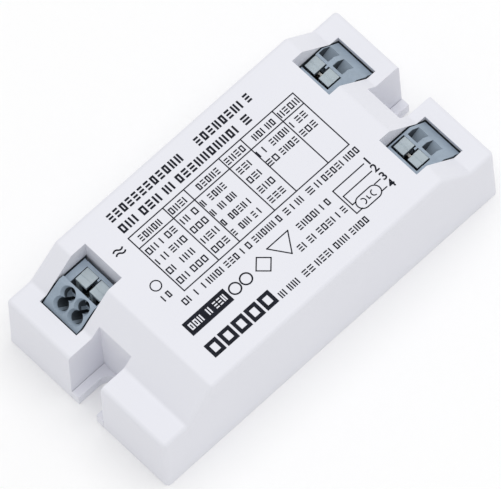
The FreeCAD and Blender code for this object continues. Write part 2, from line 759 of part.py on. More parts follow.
def make_tongue(label, tip, root, y, width):
    """A tongue with a rounded root bead, a crease across its top and one leg over the clamp spring."""
    body = part_body(label)
    middle = f"(({root} + {tip}) / 2)"
    under = "(terminal_top - tongue_thick)"
    corners = [
        (root, under),
        (root, "terminal_top"),
        (f"{middle} + crease_width / 2", "terminal_top"),
        (middle, "terminal_top - crease_depth"),
        (f"{middle} - crease_width / 2", "terminal_top"),
        (tip, "terminal_top"),
        (tip, under),
    ]
    grow(body, f"{label}_plate", outline(body, f"{label}_plate_outline", "XZ_Plane", corners, f"-{y}"),
         width)
    sketch = circles(body, f"{label}_bead_round", "XZ_Plane", [(root, BEAD_HEIGHT, "bead_radius")], f"-{y}")
    grow(body, f"{label}_bead", sketch, width)
    y_pair = (f"{y} + {width} / 2 - leg_width", f"{y} + {width} / 2")
    body_block(body, f"{label}_leg", (tip, f"{tip} + leg_thick"), y_pair, ("leg_end", f"{under} + overlap"))


def make_contact(label, low, root, y):
    """A contact bar: foot, upright against the chamber's wall and solder pin."""
    foot_top = "chamber_floor + contact_thick"
    y_pair = (f"{y} - contact_width / 2", f"{y} + contact_width / 2")
    x_pair = (f"{low} + contact_gap", f"{root} - contact_gap")
    foot = block(f"{label}_foot", x_pair, y_pair, ("chamber_floor", foot_top))
    x_pair = (f"{root} - contact_gap - contact_thick", f"{root} - contact_gap")
    upright = block(f"{label}_upright", x_pair, y_pair, ("chamber_floor", "contact_leg_top"))
    pin_x = f"({root} - pin_setback)"
    x_pair = (f"{pin_x} - pin_width / 2", f"{pin_x} + pin_width / 2")
    y_pair = (f"{y} - pin_width / 2", f"{y} + pin_width / 2")
    pin = block(f"{label}_pin", x_pair, y_pair, (LEAD_FOOT, "chamber_floor + contact_thick / 2"))
    board_holes.append((pin_x, y, "(pin_width / sqrt(2) + lead_hole_gap)"))
    joined(label, [foot, upright, pin])


def make_spring(label, low, root, y):
    """A bent leaf spring whose blade falls towards the contact's upright."""
    body = part_body(label)
    seat = "(chamber_floor + contact_thick)"
    left = f"({low} + contact_gap)"
    right = f"({root} - contact_gap - contact_thick - spring_setback)"
    corners = [
        (left, seat),
        (right, seat),
        (right, f"{seat} + spring_thick"),
        (f"{left} + spring_thick", f"{seat} + spring_thick"),
        (f"{left} + spring_thick", "spring_top - spring_bend * spring_thick"),
        (right, "spring_top - spring_fall - spring_thick"),
        (right, "spring_top - spring_fall"),
        (left, "spring_top"),
    ]
    sketch = outline(body, f"{label}_outline", "XZ_Plane", corners, f"-{y}")
    grow(body, f"{label}_strip", sketch, "spring_width")


def make_board():
    """The circuit board, cut out round the notch wells and drilled for every lead."""
    body = part_body("circuit_board")
    cut_side = f"({NOTCH_SIDE} + skirt_wall + board_end_gap)"
    cut_end = f"({NOTCH_FLOOR} - skirt_wall - board_end_gap)"
    quarter = [(cut_end, cut_side), (BOARD_END, cut_side), (BOARD_END, BOARD_SIDE)]
    corners = [(f"{x}", f"-{y}") for x, y in reversed(quarter)] + quarter
    corners += [(f"-{x}", y) for x, y in reversed(quarter)] + [(f"-{x}", f"-{y}") for x, y in quarter]
    sketch = outline(body, "board_outline", "XY_Plane", corners, BOARD_FOOT)
    grow(body, "board_sheet", sketch, "board_thick", "One side")
    sketch = circles(body, "board_hole_rounds", "XY_Plane", board_holes, BOARD_FOOT)
    grow(body, "board_drilling", sketch, "4 * board_thick", kind="Pocket")


def boxed_part(label, x, y, size_x, size_y, height, lead_places):
    """A moulded component that stands on the board on its leads."""
    shapes = [block(f"{label}_case", (f"{x} - {size_x} / 2", f"{x} + {size_x} / 2"),
                    (f"{y} - {size_y} / 2", f"{y} + {size_y} / 2"), (BOARD_TOP, f"{BOARD_TOP} + {height}"))]
    for i, (lead_x, lead_y) in enumerate(lead_places, start=1):
        shapes.append(lead(label, i, lead_x, lead_y))
    joined(label, shapes)


def axial_part(label, x, y, length, radius, pitch):
    """A component that lies on the board along X, with its leads bent down at both ends."""
    height = f"({BOARD_TOP} + {radius})"
    shapes = [rod(f"{label}_case", radius, length, (f"{x} - {length} / 2", y, height), "x")]
    shapes.append(rod(f"{label}_wire", "lead_radius * wire_taper", pitch,
                      (f"{x} - {pitch} / 2", y, height), "x"))
    for i, sign in enumerate((-1, 1), start=1):
        shapes.append(lead(label, i, f"({x} + {sign} * {pitch} / 2)", y, f"({height} + lead_radius)"))
    joined(label, shapes)


def make_supply_side():
    """Fuse, interference capacitor, drum choke, rectifier and reservoir capacitor."""
    label = "mains_fuse"
    shapes = [rod(f"{label}_case", "fuse_radius", "fuse_height", ("fuse_x", "fuse_y", BOARD_TOP))]
    shapes += [lead(label, i, f"(fuse_x + {sign} * fuse_pitch / 2)", "fuse_y") for i,
               sign in enumerate((-1, 1), 1)]
    joined(label, shapes)
    places = [(f"(film_x + {sign} * film_pitch / 2)", "film_y") for sign in (-1, 1)]
    boxed_part("mains_film_capacitor", "film_x", "film_y", "film_length", "film_width", "film_height",
               places)
    label = "filter_choke_core"
    centre = ("drum_x", "drum_y")
    shapes = [rod(f"{label}_foot", "drum_radius", "drum_flange", (*centre, BOARD_TOP))]
    shapes.append(rod(f"{label}_neck", "drum_neck_radius", "drum_height", (*centre, BOARD_TOP)))
    head = f"{BOARD_TOP} + drum_height - drum_flange"
    shapes.append(rod(f"{label}_head", "drum_radius", "drum_flange", (*centre, head)))
    shapes += [lead(label, i, f"(drum_x + {sign} * drum_pitch / 2)", "drum_y") for i,
               sign in enumerate((-1, 1), 1)]
    joined(label, shapes)
    coil_foot = (*centre, f"{BOARD_TOP} + drum_flange")
    coil_length = "drum_height - 2 * drum_flange"
    wire = rod("filter_choke_turns", "drum_wire_radius", coil_length, coil_foot)
    neck = rod("filter_choke_middle", "drum_neck_radius", coil_length, coil_foot)
    hollowed("filter_choke_winding", wire, neck)
    for i in range(4):
        y = f"(diode_y + {i} * diode_step)"
        axial_part(f"rectifier_diode_{i + 1}", "diode_x", y, "diode_length", "diode_radius", "diode_pitch")
    label = "reservoir_capacitor"
    height = f"({BOARD_TOP} + can_radius)"
    front = "(can_y + can_length / 2)"
    shapes = [rod(f"{label}_can", "can_radius", "can_length", ("can_x", "can_y - can_length / 2", height),
                  "y")]
    for i, sign in enumerate((-1, 1), start=1):
        x = f"(can_x + {sign} * can_pitch / 2)"
        wire = rod(f"{label}_wire_{i}", "lead_radius * wire_taper", "can_lead_reach", (x, front, height),
                   "y")
        shapes.append(wire)
        shapes.append(lead(label, i, x, f"({front} + can_lead_reach)", f"({height} + lead_radius)"))
    solid = joined(f"{label}_solid", shapes, keep=False)
    groove = doc.addObject("Part::Torus", f"{label}_groove")
    groove.Placement = Placement(Vector(), TURNS["y"])
    bind(groove, Radius1="can_radius + can_groove_radius / 2", Radius2="can_groove_radius")
    bind(groove, Placement__Base__x="can_x", Placement__Base__y=f"{front} - can_groove_place",
         Placement__Base__z=height)
    hollowed(label, solid, groove)


def make_control_side():
    """Start parts, the two transistors and their ring transformer."""
    for label, kind in (("start_resistor", "resistor"), ("start_diac", "diac"),
                        ("sense_resistor", "resistor")):
        axial_part(label, "small_part_x", f"{label}_y", f"{kind}_length", f"{kind}_radius", f"{kind}_pitch")
    for which in ("upper", "lower"):
        y = f"transistor_{which}_y"
        places = [(f"(transistor_x + {step} * transistor_pitch)", y) for step in (-1, 0, 1)]
        boxed_part(f"transistor_{which}", "transistor_x", y, "transistor_width", "transistor_depth",
                   "transistor_height", places)
    foot = f"({BOARD_TOP} + ring_wire + ring_wire_gap)"
    outer = rod("drive_ring_outer", "ring_radius", "ring_height", ("ring_x", "ring_y", foot))
    inner = rod("drive_ring_inner", "ring_bore", "ring_height", ("ring_x", "ring_y", foot))
    hollowed("drive_ring_core", outer, inner)
    for i, angle in enumerate((90, 210, 330), start=1):
        make_ring_winding(f"drive_winding_{i}", angle)


def make_ring_winding(label, angle):
    """A band of turns round the ring's section, with its two ends through the board."""
    middle = "(ring_radius + ring_bore) / 2"
    half = "((ring_radius - ring_bore) / 2 + ring_wire_gap)"
    turns = []
    for name, grow_by in (("turns", "ring_wire"), ("hole", "0")):
        box = doc.addObject("Part::Box", f"{label}_{name}")
        width = "ring_band_width" if name == "turns" else "(ring_band_width + 2 * overshoot)"
        bind(box, Length=f"2 * ({half} + {grow_by})", Width=width)
        bind(box, Height=f"ring_height + 2 * (ring_wire_gap + {grow_by})")
        reach = f"({middle} - {half} - {grow_by})"
        box.Placement = Placement(Vector(), Rotation(Vector(0, 0, 1), angle))
        bind(box, Placement__Base__x=f"ring_x + {reach} * cos({angle}) + {width} / 2 * sin({angle})")
        bind(box, Placement__Base__y=f"ring_y + {reach} * sin({angle}) - {width} / 2 * cos({angle})")
        bind(box, Placement__Base__z=f"{BOARD_TOP} + ring_wire - {grow_by}")
        turns.append(box)
    band = hollowed(f"{label}_band", turns[0], turns[1], keep=False)
    reach = f"({middle} + {half} + ring_wire / 2)"
    x = f"(ring_x + {reach} * cos({angle}))"
    y = f"(ring_y + {reach} * sin({angle}))"
    joined(label, [band, lead(label, 1, x, y, f"({BOARD_TOP} + ring_wire)")])


def make_lamp_choke():
    """Two E-shaped core halves, a flanged bobbin, its winding and the tape round the cores."""
    z_middle = f"({BOARD_TOP} + choke_flange_height / 2)"
    core_z = (f"{z_middle} - choke_core_height / 2", f"{z_middle} + choke_core_height / 2")
    half_width = "(choke_core_width / 2)"
    window_x = "(choke_core_half - choke_core_back)"
    for label, sign in (("lamp_choke_core_inner", -1), ("lamp_choke_core_outer", 1)):
        x_back = shifted("choke_x", along(sign, (window_x, "choke_core_half")))
        x_leg = shifted("choke_x", along(sign, ("0", "choke_core_half")))
        shapes = [block(f"{label}_back", x_back, shifted("choke_y", (f"-{half_width}", half_width)),
                        core_z)]
        for i, side in enumerate((-1, 1), start=1):
            y = shifted("choke_y", along(side, (f"{half_width} - choke_core_leg", half_width)))
            shapes.append(block(f"{label}_leg_{i}", x_leg, y, core_z))
        y = shifted("choke_y", ("-choke_core_middle / 2", "choke_core_middle / 2"))
        shapes.append(block(f"{label}_middle", x_leg, y, core_z))
        joined(label, shapes)
    bore_y = "(choke_core_middle / 2 + choke_bobbin_gap)"
    bore_z = "(choke_core_height / 2 + choke_bobbin_gap)"
    tube_y = f"({bore_y} + choke_bobbin_wall)"
    tube_z = f"({bore_z} + choke_bobbin_wall)"
    reach = f"({window_x} - choke_bobbin_gap)"
    flange_y = f"({half_width} - choke_core_leg - choke_bobbin_gap)"
    label = "lamp_choke_bobbin"
    shapes = [block(f"{label}_tube", around("choke_x", reach), around("choke_y", tube_y),
                    around(z_middle, tube_z))]
    for i, sign in enumerate((-1, 1), start=1):
        x = shifted("choke_x", along(sign, (f"{reach} - choke_flange", reach)))
        z = (BOARD_TOP, f"{BOARD_TOP} + choke_flange_height")
        shapes.append(block(f"{label}_flange_{i}", x, around("choke_y", flange_y), z))
        for j, side in enumerate((-1, 1), start=1):
            lead_x = f"(choke_x + {sign} * ({reach} - choke_flange / 2))"
            lead_y = f"(choke_y + {side} * choke_pin_pitch / 2)"
            shapes.append(lead(f"{label}_{i}", j, lead_x, lead_y))
    solid = joined(f"{label}_solid", shapes, keep=False)
    x = around("choke_x", "choke_core_half")
    bore = block(f"{label}_bore", x, around("choke_y", bore_y), around(z_middle, bore_z))
    hollowed(label, solid, bore)
    label = "lamp_choke_winding"
    x = around("choke_x", f"({reach} - choke_flange)")
    outer = block(f"{label}_turns", x, around("choke_y", f"({flange_y} - choke_wire_gap)"),
                  around(z_middle, "(choke_flange_height / 2 - choke_wire_gap)"))
    inner = block(f"{label}_middle", x, around("choke_y", tube_y), around(z_middle, tube_z))
    hollowed(label, outer, inner)
    label = "lamp_choke_tape"
    tape_z = around(z_middle, "(choke_core_height / 2 - choke_tape_inset)")
    outer = block(f"{label}_band", around("choke_x", "(choke_core_half + choke_tape_thick)"),
                  around("choke_y", f"({half_width} + choke_tape_thick)"), tape_z)
    inner = block(f"{label}_inside", around("choke_x", "choke_core_half"), around("choke_y", half_width),
                  tape_z)
    hollowed(label, outer, inner)


def around(middle, half):
    """A low and high side at equal distances from a middle."""
    return f"{middle} - {half}", f"{middle} + {half}"


def shifted(middle, pair):
    """A low and high side, moved to a middle."""
    return f"{middle} + ({pair[0]})", f"{middle} + ({pair[1]})"


def make_lamp_side():
    """The three film capacitors and the thermistor disc."""
    for name in ("resonant", "block"):
        label = "resonant_capacitor" if name == "resonant" else "dc_block_capacitor"
        x = f"{name}_x"
        places = [(x, f"({name}_y + {sign} * {name}_pitch / 2)") for sign in (-1, 1)]
        boxed_part(label, x, f"{name}_y", f"{name}_width", f"{name}_length", f"{name}_height", places)
    places = [(f"(snubber_x + {sign} * snubber_pitch / 2)", "snubber_y") for sign in (-1, 1)]
    boxed_part("snubber_capacitor", "snubber_x", "snubber_y", "snubber_length", "snubber_width",
               "snubber_height", places)
    label = "preheat_thermistor"
    start = ("thermistor_x - thermistor_thick / 2", "0", f"{BOARD_TOP} + thermistor_radius")
    shapes = [rod(f"{label}_disc", "thermistor_radius", "thermistor_thick", start, "x")]
    for i, sign in enumerate((-1, 1), start=1):
        top = f"({BOARD_TOP} + thermistor_radius)"
        shapes.append(lead(label, i, "thermistor_x", f"({sign} * thermistor_pitch / 2)", top))
    joined(label, shapes)


make_cover()
make_base_plate()
make_mains_terminal()
make_lamp_terminal("lamp_12", "lamp_terminal_12_body", "lamp_pole_shift_12", 1)
make_lamp_terminal("lamp_34", "lamp_terminal_34_body", "lamp_pole_shift_34", 3)
make_supply_side()
make_control_side()
make_lamp_choke()
make_lamp_side()
make_board()
doc.recompute()

for item in doc.Objects:
    if "Invalid" in item.State or "Error" in item.State:
        raise RuntimeError(f"{item.Name} failed: {item.State}")
for node in nodes:
    shape = node.Shape
    if shape.isNull() or not shape.isValid() or len(shape.Solids) != 1:
        raise RuntimeError(f"{node.Label} is not one sound solid: {len(shape.Solids)} solids")
os.makedirs("parts", exist_ok=True)
for node in nodes:
    node.Shape.exportStep(f"parts/{node.Label}.step")
print(len(nodes), "nodes")
for node in nodes:
    box = node.Shape.BoundBox
    print(f"{node.Label:26s} {node.Shape.Volume:9.2f} mm3  x {box.XMin:.2f} {box.XMax:.2f}"
          f"  y {box.YMin:.2f} {box.YMax:.2f}  z {box.ZMin:.2f} {box.ZMax:.2f}")
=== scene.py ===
"""Looks of a fluorescent lamp ballast, built round its CAD frame."""
import json
import math
import random

import bmesh
import bpy
from bpy.props import FloatProperty, FloatVectorProperty, IntProperty, PointerProperty
from mathutils import Matrix, Vector
from mathutils.bvhtree import BVHTree


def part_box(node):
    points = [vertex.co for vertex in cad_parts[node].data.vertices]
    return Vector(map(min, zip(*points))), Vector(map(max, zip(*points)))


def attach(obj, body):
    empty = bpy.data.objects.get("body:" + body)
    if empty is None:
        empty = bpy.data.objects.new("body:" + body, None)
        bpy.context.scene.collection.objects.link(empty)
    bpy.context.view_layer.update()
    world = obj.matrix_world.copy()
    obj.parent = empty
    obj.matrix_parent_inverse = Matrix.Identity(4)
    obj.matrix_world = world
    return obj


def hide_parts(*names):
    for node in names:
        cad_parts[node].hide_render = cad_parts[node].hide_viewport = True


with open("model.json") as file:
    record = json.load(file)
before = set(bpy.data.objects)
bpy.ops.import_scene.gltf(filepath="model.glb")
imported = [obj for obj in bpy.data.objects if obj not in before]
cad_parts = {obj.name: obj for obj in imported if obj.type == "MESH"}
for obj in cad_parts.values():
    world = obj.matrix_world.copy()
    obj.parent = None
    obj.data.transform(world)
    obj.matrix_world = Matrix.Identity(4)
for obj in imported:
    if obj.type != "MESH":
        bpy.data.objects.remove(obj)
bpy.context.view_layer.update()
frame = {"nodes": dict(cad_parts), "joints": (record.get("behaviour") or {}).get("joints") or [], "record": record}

bl_info = {
    "name": "Lamp ballast looks",
    "version": (1, 0, 0),
    "blender": (4, 5, 0),
    "location": "View3D > Sidebar > Ballast",
    "description": "Finishes the case, terminals, print and inner parts of a lamp ballast",
    "category": "Object",
}

MM = 0.001
LID_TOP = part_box("housing_cover")[1].z
NODES = frame["nodes"]

# Settings


class BallastCase(bpy.types.PropertyGroup):
    edge: FloatProperty(name="Edge rounding", description="Rounding of the window and notch edges",
                        default=0.22 * MM, unit="LENGTH")
    terminal_edge: FloatProperty(name="Terminal edge rounding",
                                 description="Rounding of the terminals' edges",
                                 default=0.12 * MM, unit="LENGTH")
    tongue_edge: FloatProperty(name="Tongue edge rounding",
                               description="Rounding of the release tongues' edges",
                               default=0.14 * MM, unit="LENGTH")
    sharp_angle: FloatProperty(name="Sharp angle", description="Edges that turn more than this stay crisp",
                               default=math.radians(34), subtype="ANGLE")
    white: FloatVectorProperty(name="Case white", description="Colour of the moulded case",
                               default=(0.80, 0.806, 0.862), subtype="COLOR", size=3)
    grey: FloatVectorProperty(name="Terminal grey", description="Colour of the terminal blocks",
                              default=(0.33, 0.405, 0.49), subtype="COLOR", size=3)
    tongue: FloatVectorProperty(name="Tongue grey", description="Colour of the release tongues",
                                default=(0.44, 0.51, 0.55), subtype="COLOR", size=3)


class BallastPrint(bpy.types.PropertyGroup):
    ink: FloatVectorProperty(name="Ink", description="Colour of the pad-printed ink",
                             default=(0.006, 0.007, 0.012), subtype="COLOR", size=3)
    rise: FloatProperty(name="Ink rise", description="How far the ink stands above the lid",
                        default=0.015 * MM, unit="LENGTH")
    sink: FloatProperty(name="Ink sink", description="How far the ink reaches into the lid",
                        default=0.02 * MM, unit="LENGTH")
    rule: FloatProperty(name="Rule width", description="Width of the table's lines", default=0.23 * MM,
                        unit="LENGTH")
    seed: IntProperty(name="Seed", description="Seed of the stand-in marks for words", default=11)


class BallastStage(bpy.types.PropertyGroup):
    lens: FloatProperty(name="Lens", description="Focal length in millimetres", default=727.5)
    sky: FloatProperty(name="Sky strength", description="Strength of the even light from all round",
                       default=0.73)
    overhead: FloatProperty(name="Overhead power", description="Power of the large light above", default=3.35,
                            subtype="POWER")
    floor: FloatVectorProperty(name="Floor", description="Colour of the floor", default=(0.98, 0.98, 0.98),
                               subtype="COLOR", size=3)


class BallastSettings(bpy.types.PropertyGroup):
    case: PointerProperty(type=BallastCase, name="Case", description="Case, terminals and tongues")
    lid_print: PointerProperty(type=BallastPrint, name="Print", description="Print on the lid")
    stage: PointerProperty(type=BallastStage, name="Stage", description="Camera, lights and floor")


# Materials

# Where a colour Mix node keeps its two colours and its result.
MIX_FIRST, MIX_SECOND, MIX_RESULT = 6, 7, 2


def new_node(tree, kind, **options):
    """Adds a node with its own options set."""
    node = tree.nodes.new(kind)
    for key, value in options.items():
        setattr(node, key, value)
    return node


def new_group(name, inputs, outputs):
    """An empty shader node group with named sockets, and its input and output nodes."""
    group = bpy.data.node_groups.new(name, "ShaderNodeTree")
    for socket, kind, default in inputs:
        item = group.interface.new_socket(name=socket, in_out="INPUT", socket_type=kind)
        item.default_value = default
    for socket, kind in outputs:
        group.interface.new_socket(name=socket, in_out="OUTPUT", socket_type=kind)
    return group, new_node(group, "NodeGroupInput"), new_node(group, "NodeGroupOutput")


def math_node(tree, operation, first, second):
    """A Math node between two values, each a socket or a number."""
    node = new_node(tree, "ShaderNodeMath", operation=operation)
    for socket, value in zip(node.inputs, (first, second)):
        if isinstance(value, bpy.types.NodeSocket):
            tree.links.new(value, socket)
        elif value is not None:
            socket.default_value = value
    return node.outputs[0]


def moulded_surface_group():
    """Fine grain of a moulded or coated surface, with slow changes of tone."""
    group, inside, out = new_group("Moulded surface", [
        ("Colour", "NodeSocketColor", (0.8, 0.8, 0.8, 1)),
        ("Second colour", "NodeSocketColor", (0.7, 0.7, 0.7, 1)),
        ("Tone scale", "NodeSocketFloat", 70.0),
        ("Grain scale", "NodeSocketFloat", 3000.0),
        ("Grain contrast", "NodeSocketFloat", 0.1),
        ("Low roughness", "NodeSocketFloat", 0.4),
        ("High roughness", "NodeSocketFloat", 0.6),
    ], [("Colour", "NodeSocketColor"), ("Roughness", "NodeSocketFloat"), ("Height", "NodeSocketFloat")])
    link = group.links.new
    place = new_node(group, "ShaderNodeTexCoord")
    tone = new_node(group, "ShaderNodeTexNoise")
    tone.inputs["Detail"].default_value = 4
    grain = new_node(group, "ShaderNodeTexNoise")
    grain.inputs["Detail"].default_value = 5
    for texture, scale in ((tone, "Tone scale"), (grain, "Grain scale")):
        link(place.outputs["Object"], texture.inputs["Vector"])
        link(inside.outputs[scale], texture.inputs["Scale"])
    fine = math_node(group, "MULTIPLY", math_node(group, "SUBTRACT", grain.outputs["Fac"], 0.5),
                     inside.outputs["Grain contrast"])
    share = math_node(group, "ADD", tone.outputs["Fac"], fine)
    spread = new_node(group, "ShaderNodeMapRange")
    spread.inputs["From Min"].default_value = 0.3
    spread.inputs["From Max"].default_value = 0.7
    link(share, spread.inputs["Value"])
    mix = new_node(group, "ShaderNodeMix", data_type="RGBA")
    link(spread.outputs["Result"], mix.inputs["Factor"])
    link(inside.outputs["Colour"], mix.inputs[MIX_FIRST])
    link(inside.outputs["Second colour"], mix.inputs[MIX_SECOND])
    sheen = new_node(group, "ShaderNodeMapRange")
    link(grain.outputs["Fac"], sheen.inputs["Value"])
    link(inside.outputs["Low roughness"], sheen.inputs["To Min"])
    link(inside.outputs["High roughness"], sheen.inputs["To Max"])
    link(mix.outputs[MIX_RESULT], out.inputs["Colour"])
    link(sheen.outputs["Result"], out.inputs["Roughness"])
    link(grain.outputs["Fac"], out.inputs["Height"])
    return group


def wound_wire_group():
    """Turns of wire that follow one direction: their height and a painted shade line between turns."""
    group, inside, out = new_group("Wound wire", [
        ("Colour", "NodeSocketColor", (0.4, 0.15, 0.05, 1)),
        ("Painted shade between turns", "NodeSocketColor", (0.05, 0.02, 0.01, 1)),
        ("Direction", "NodeSocketVector", (0, 0, 1)),
        ("Turns per metre", "NodeSocketFloat", 3000.0),
    ], [("Colour", "NodeSocketColor"), ("Height", "NodeSocketFloat")])
    link = group.links.new
    place = new_node(group, "ShaderNodeTexCoord")
    reach = new_node(group, "ShaderNodeVectorMath", operation="DOT_PRODUCT")
    link(place.outputs["Object"], reach.inputs[0])
    link(inside.outputs["Direction"], reach.inputs[1])
    angle = math_node(group, "MULTIPLY", math_node(group, "MULTIPLY", reach.outputs["Value"],
                                                   inside.outputs["Turns per metre"]), math.pi)
    crown = math_node(group, "ABSOLUTE", math_node(group, "SINE", angle, None), None)
    # Painted shade: the colour darkens where neighbouring turns meet.
    edge = new_node(group, "ShaderNodeMapRange")
    edge.inputs["From Max"].default_value = 0.45
    link(crown, edge.inputs["Value"])
    mix = new_node(group, "ShaderNodeMix", data_type="RGBA")
    link(edge.outputs["Result"], mix.inputs["Factor"])
    link(inside.outputs["Painted shade between turns"], mix.inputs[MIX_FIRST])
    link(inside.outputs["Colour"], mix.inputs[MIX_SECOND])
    link(mix.outputs[MIX_RESULT], out.inputs["Colour"])
    link(crown, out.inputs["Height"])
    return group


def surface_material(name, colour, second, rough, tone=70.0, grain=3000.0, contrast=0.1, depth=0.004,
                     metallic=0.0, specular=0.5, turns=None):
    """A finish of its own: two close tones, grain, roughness that follows it, and turns of wire if asked."""
    material = bpy.data.materials.new(name)
    material.use_nodes = True
    tree = material.node_tree
    shader = tree.nodes["Principled BSDF"]
    shader.inputs["Metallic"].default_value = metallic
    shader.inputs["Specular IOR Level"].default_value = specular
    surface = new_node(tree, "ShaderNodeGroup", node_tree=bpy.data.node_groups["Moulded surface"])
    values = {"Colour": (*colour, 1), "Second colour": (*second, 1), "Tone scale": tone, "Grain scale": grain,
              "Grain contrast": contrast, "Low roughness": rough[0], "High roughness": rough[1]}
    for socket, value in values.items():
        surface.inputs[socket].default_value = value
    bump = new_node(tree, "ShaderNodeBump")
    bump.inputs["Distance"].default_value = depth * MM
    tree.links.new(surface.outputs["Roughness"], shader.inputs["Roughness"])
    if turns:
        direction, pitch, turn_shade = turns
        wire = new_node(tree, "ShaderNodeGroup", node_tree=bpy.data.node_groups["Wound wire"])
        wire.inputs["Direction"].default_value = direction
        wire.inputs["Turns per metre"].default_value = 1 / (pitch * MM)
        wire.inputs["Painted shade between turns"].default_value = (*turn_shade, 1)
        tree.links.new(surface.outputs["Colour"], wire.inputs["Colour"])
        tree.links.new(wire.outputs["Colour"], shader.inputs["Base Color"])
        tree.links.new(wire.outputs["Height"], bump.inputs["Height"])
        bump.inputs["Distance"].default_value = pitch / 4 * MM
    else:
        tree.links.new(surface.outputs["Colour"], shader.inputs["Base Color"])
        tree.links.new(surface.outputs["Height"], bump.inputs["Height"])
    tree.links.new(bump.outputs["Normal"], shader.inputs["Normal"])
    return material


def shaded(colour, share):
    """The same colour, darker or lighter."""
    return tuple(min(1.0, part * share) for part in colour)


INNER_FINISHES = {
    # finish: (colour, second colour, low and high roughness, options)
    "tinned_contact": ((0.72, 0.71, 0.68), (0.60, 0.60, 0.58), (0.22, 0.38),
                       {"metallic": 1.0, "grain": 2500}),
    "spring_steel": ((0.60, 0.59, 0.56), (0.52, 0.51, 0.49), (0.18, 0.34), {"metallic": 1.0, "grain": 4000}),
    "board_laminate": ((0.42, 0.27, 0.12), (0.36, 0.22, 0.09), (0.45, 0.62), {"tone": 400, "contrast": 0.5}),
    "black_epoxy": ((0.020, 0.020, 0.022), (0.030, 0.030, 0.032), (0.42, 0.60), {"depth": 0.008}),
    "ferrite": ((0.045, 0.045, 0.048), (0.075, 0.075, 0.080), (0.50, 0.72), {"grain": 6000, "contrast": 0.8}),
    "can_sleeve": ((0.018, 0.022, 0.060), (0.024, 0.028, 0.075), (0.22, 0.32), {}),
    "fuse_case": ((0.22, 0.12, 0.06), (0.18, 0.10, 0.05), (0.35, 0.50), {}),
    "bobbin_black": ((0.030, 0.030, 0.032), (0.040, 0.040, 0.042), (0.38, 0.52), {}),
    "yellow_tape": ((0.78, 0.56, 0.06), (0.72, 0.50, 0.05), (0.25, 0.36), {"tone": 300}),
    "film_case_yellow": ((0.72, 0.52, 0.12), (0.66, 0.47, 0.10), (0.34, 0.48), {}),
    "film_case_red": ((0.42, 0.06, 0.03), (0.36, 0.05, 0.03), (0.28, 0.40), {}),
    "resistor_tan": ((0.58, 0.44, 0.28), (0.52, 0.39, 0.24), (0.34, 0.46), {}),
    "diac_blue": ((0.06, 0.16, 0.40), (0.05, 0.13, 0.34), (0.26, 0.38), {}),
    "thermistor_disc": ((0.10, 0.22, 0.12), (0.08, 0.18, 0.10), (0.40, 0.55), {}),
}
COPPER = ((0.50, 0.16, 0.05), (0.42, 0.13, 0.04), (0.20, 0.34))
# Painted shade for the dark lines between turns of wire.
COPPER_TURN_SHADE = (0.07, 0.02, 0.01)
WINDINGS = {
    # node: (direction across its turns, wire pitch in mm)
    "filter_choke_winding": ((0, 0, 1), 0.42),
    "lamp_choke_winding": ((1, 0, 0), 0.34),
    "drive_winding_1": ((1, 0, 0), 0.5),
    "drive_winding_2": ((-0.5, 0.866, 0), 0.5),
    "drive_winding_3": ((-0.5, -0.866, 0), 0.5),
}
INNER_NODES = {
    "circuit_board": "board_laminate", "mains_contact": "tinned_contact", "lamp_contact": "tinned_contact",
    "mains_clamp_spring": "spring_steel", "lamp_clamp_spring": "spring_steel", "mains_fuse": "fuse_case",
    "mains_film_capacitor": "film_case_yellow", "filter_choke_core": "ferrite",
    "rectifier_diode": "black_epoxy", "reservoir_capacitor": "can_sleeve",
    "start_resistor": "resistor_tan", "sense_resistor": "resistor_tan", "start_diac": "diac_blue",
    "transistor": "black_epoxy", "drive_ring_core": "ferrite",
    "lamp_choke_core": "ferrite", "lamp_choke_bobbin": "bobbin_black", "lamp_choke_tape": "yellow_tape",
    "resonant_capacitor": "film_case_red", "dc_block_capacitor": "film_case_red",
    "snubber_capacitor": "film_case_yellow", "preheat_thermistor": "thermistor_disc",
}

TERMINAL_BODIES = ("mains_terminal_body", "lamp_terminal_12_body", "lamp_terminal_34_body")

# Meshes

MERGE = 0.001 * MM
LIFT = 0.02 * MM
BORE_REACH = 3.2 * MM
GAP_REACH = 0.6 * MM
TOP_AREA = 0.6 * MM * MM
MOUTH_WIDTH = 2.4 * MM
MOUTH_SETBACK = 1.2 * MM
MOUTH_REACH = 1.6 * MM
MOUTH_DEPTH = 3.4 * MM
FLAT = math.radians(0.6)
EDGE_STEPS = 3
PLANE_TURN = FLAT * 5
PLANE_STEP = LIFT * 5
EDGE_ROOM = 4
END_ROOM = 1.5
TERMINAL_EDGES_ABOVE = 13 * MM
FLOOR_EDGES_BELOW = 3 * MM


def piece_from(bm, name, material, body="root"):
    """Turns a bmesh into a finished piece that rides on a body."""
    mesh = bpy.data.meshes.new(name)
    bm.to_mesh(mesh)
    bm.free()
    piece = bpy.data.objects.new(name, mesh)
    bpy.context.scene.collection.objects.link(piece)
    mesh.materials.append(material)
    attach(piece, body)
    return piece


def clear_of_short_edges(edge, width):
    """Whether there is room for a rounding at both of the edge's ends."""
    return all(other.calc_length() > END_ROOM * width for vert in edge.verts for other in vert.link_edges)


def top_planes(node):
    """The planes of a node's largest upward faces."""
    planes = []
    for face in sorted(NODES[node].data.polygons, key=lambda face: -face.area):
        if face.normal.z < 0.5 or face.area < TOP_AREA:
            continue
        if all(face.normal.angle(normal) > PLANE_TURN or abs((face.center - place).dot(normal)) > PLANE_STEP
               for place, normal in planes):
            planes.append((face.center.copy(), face.normal.copy()))
    return planes


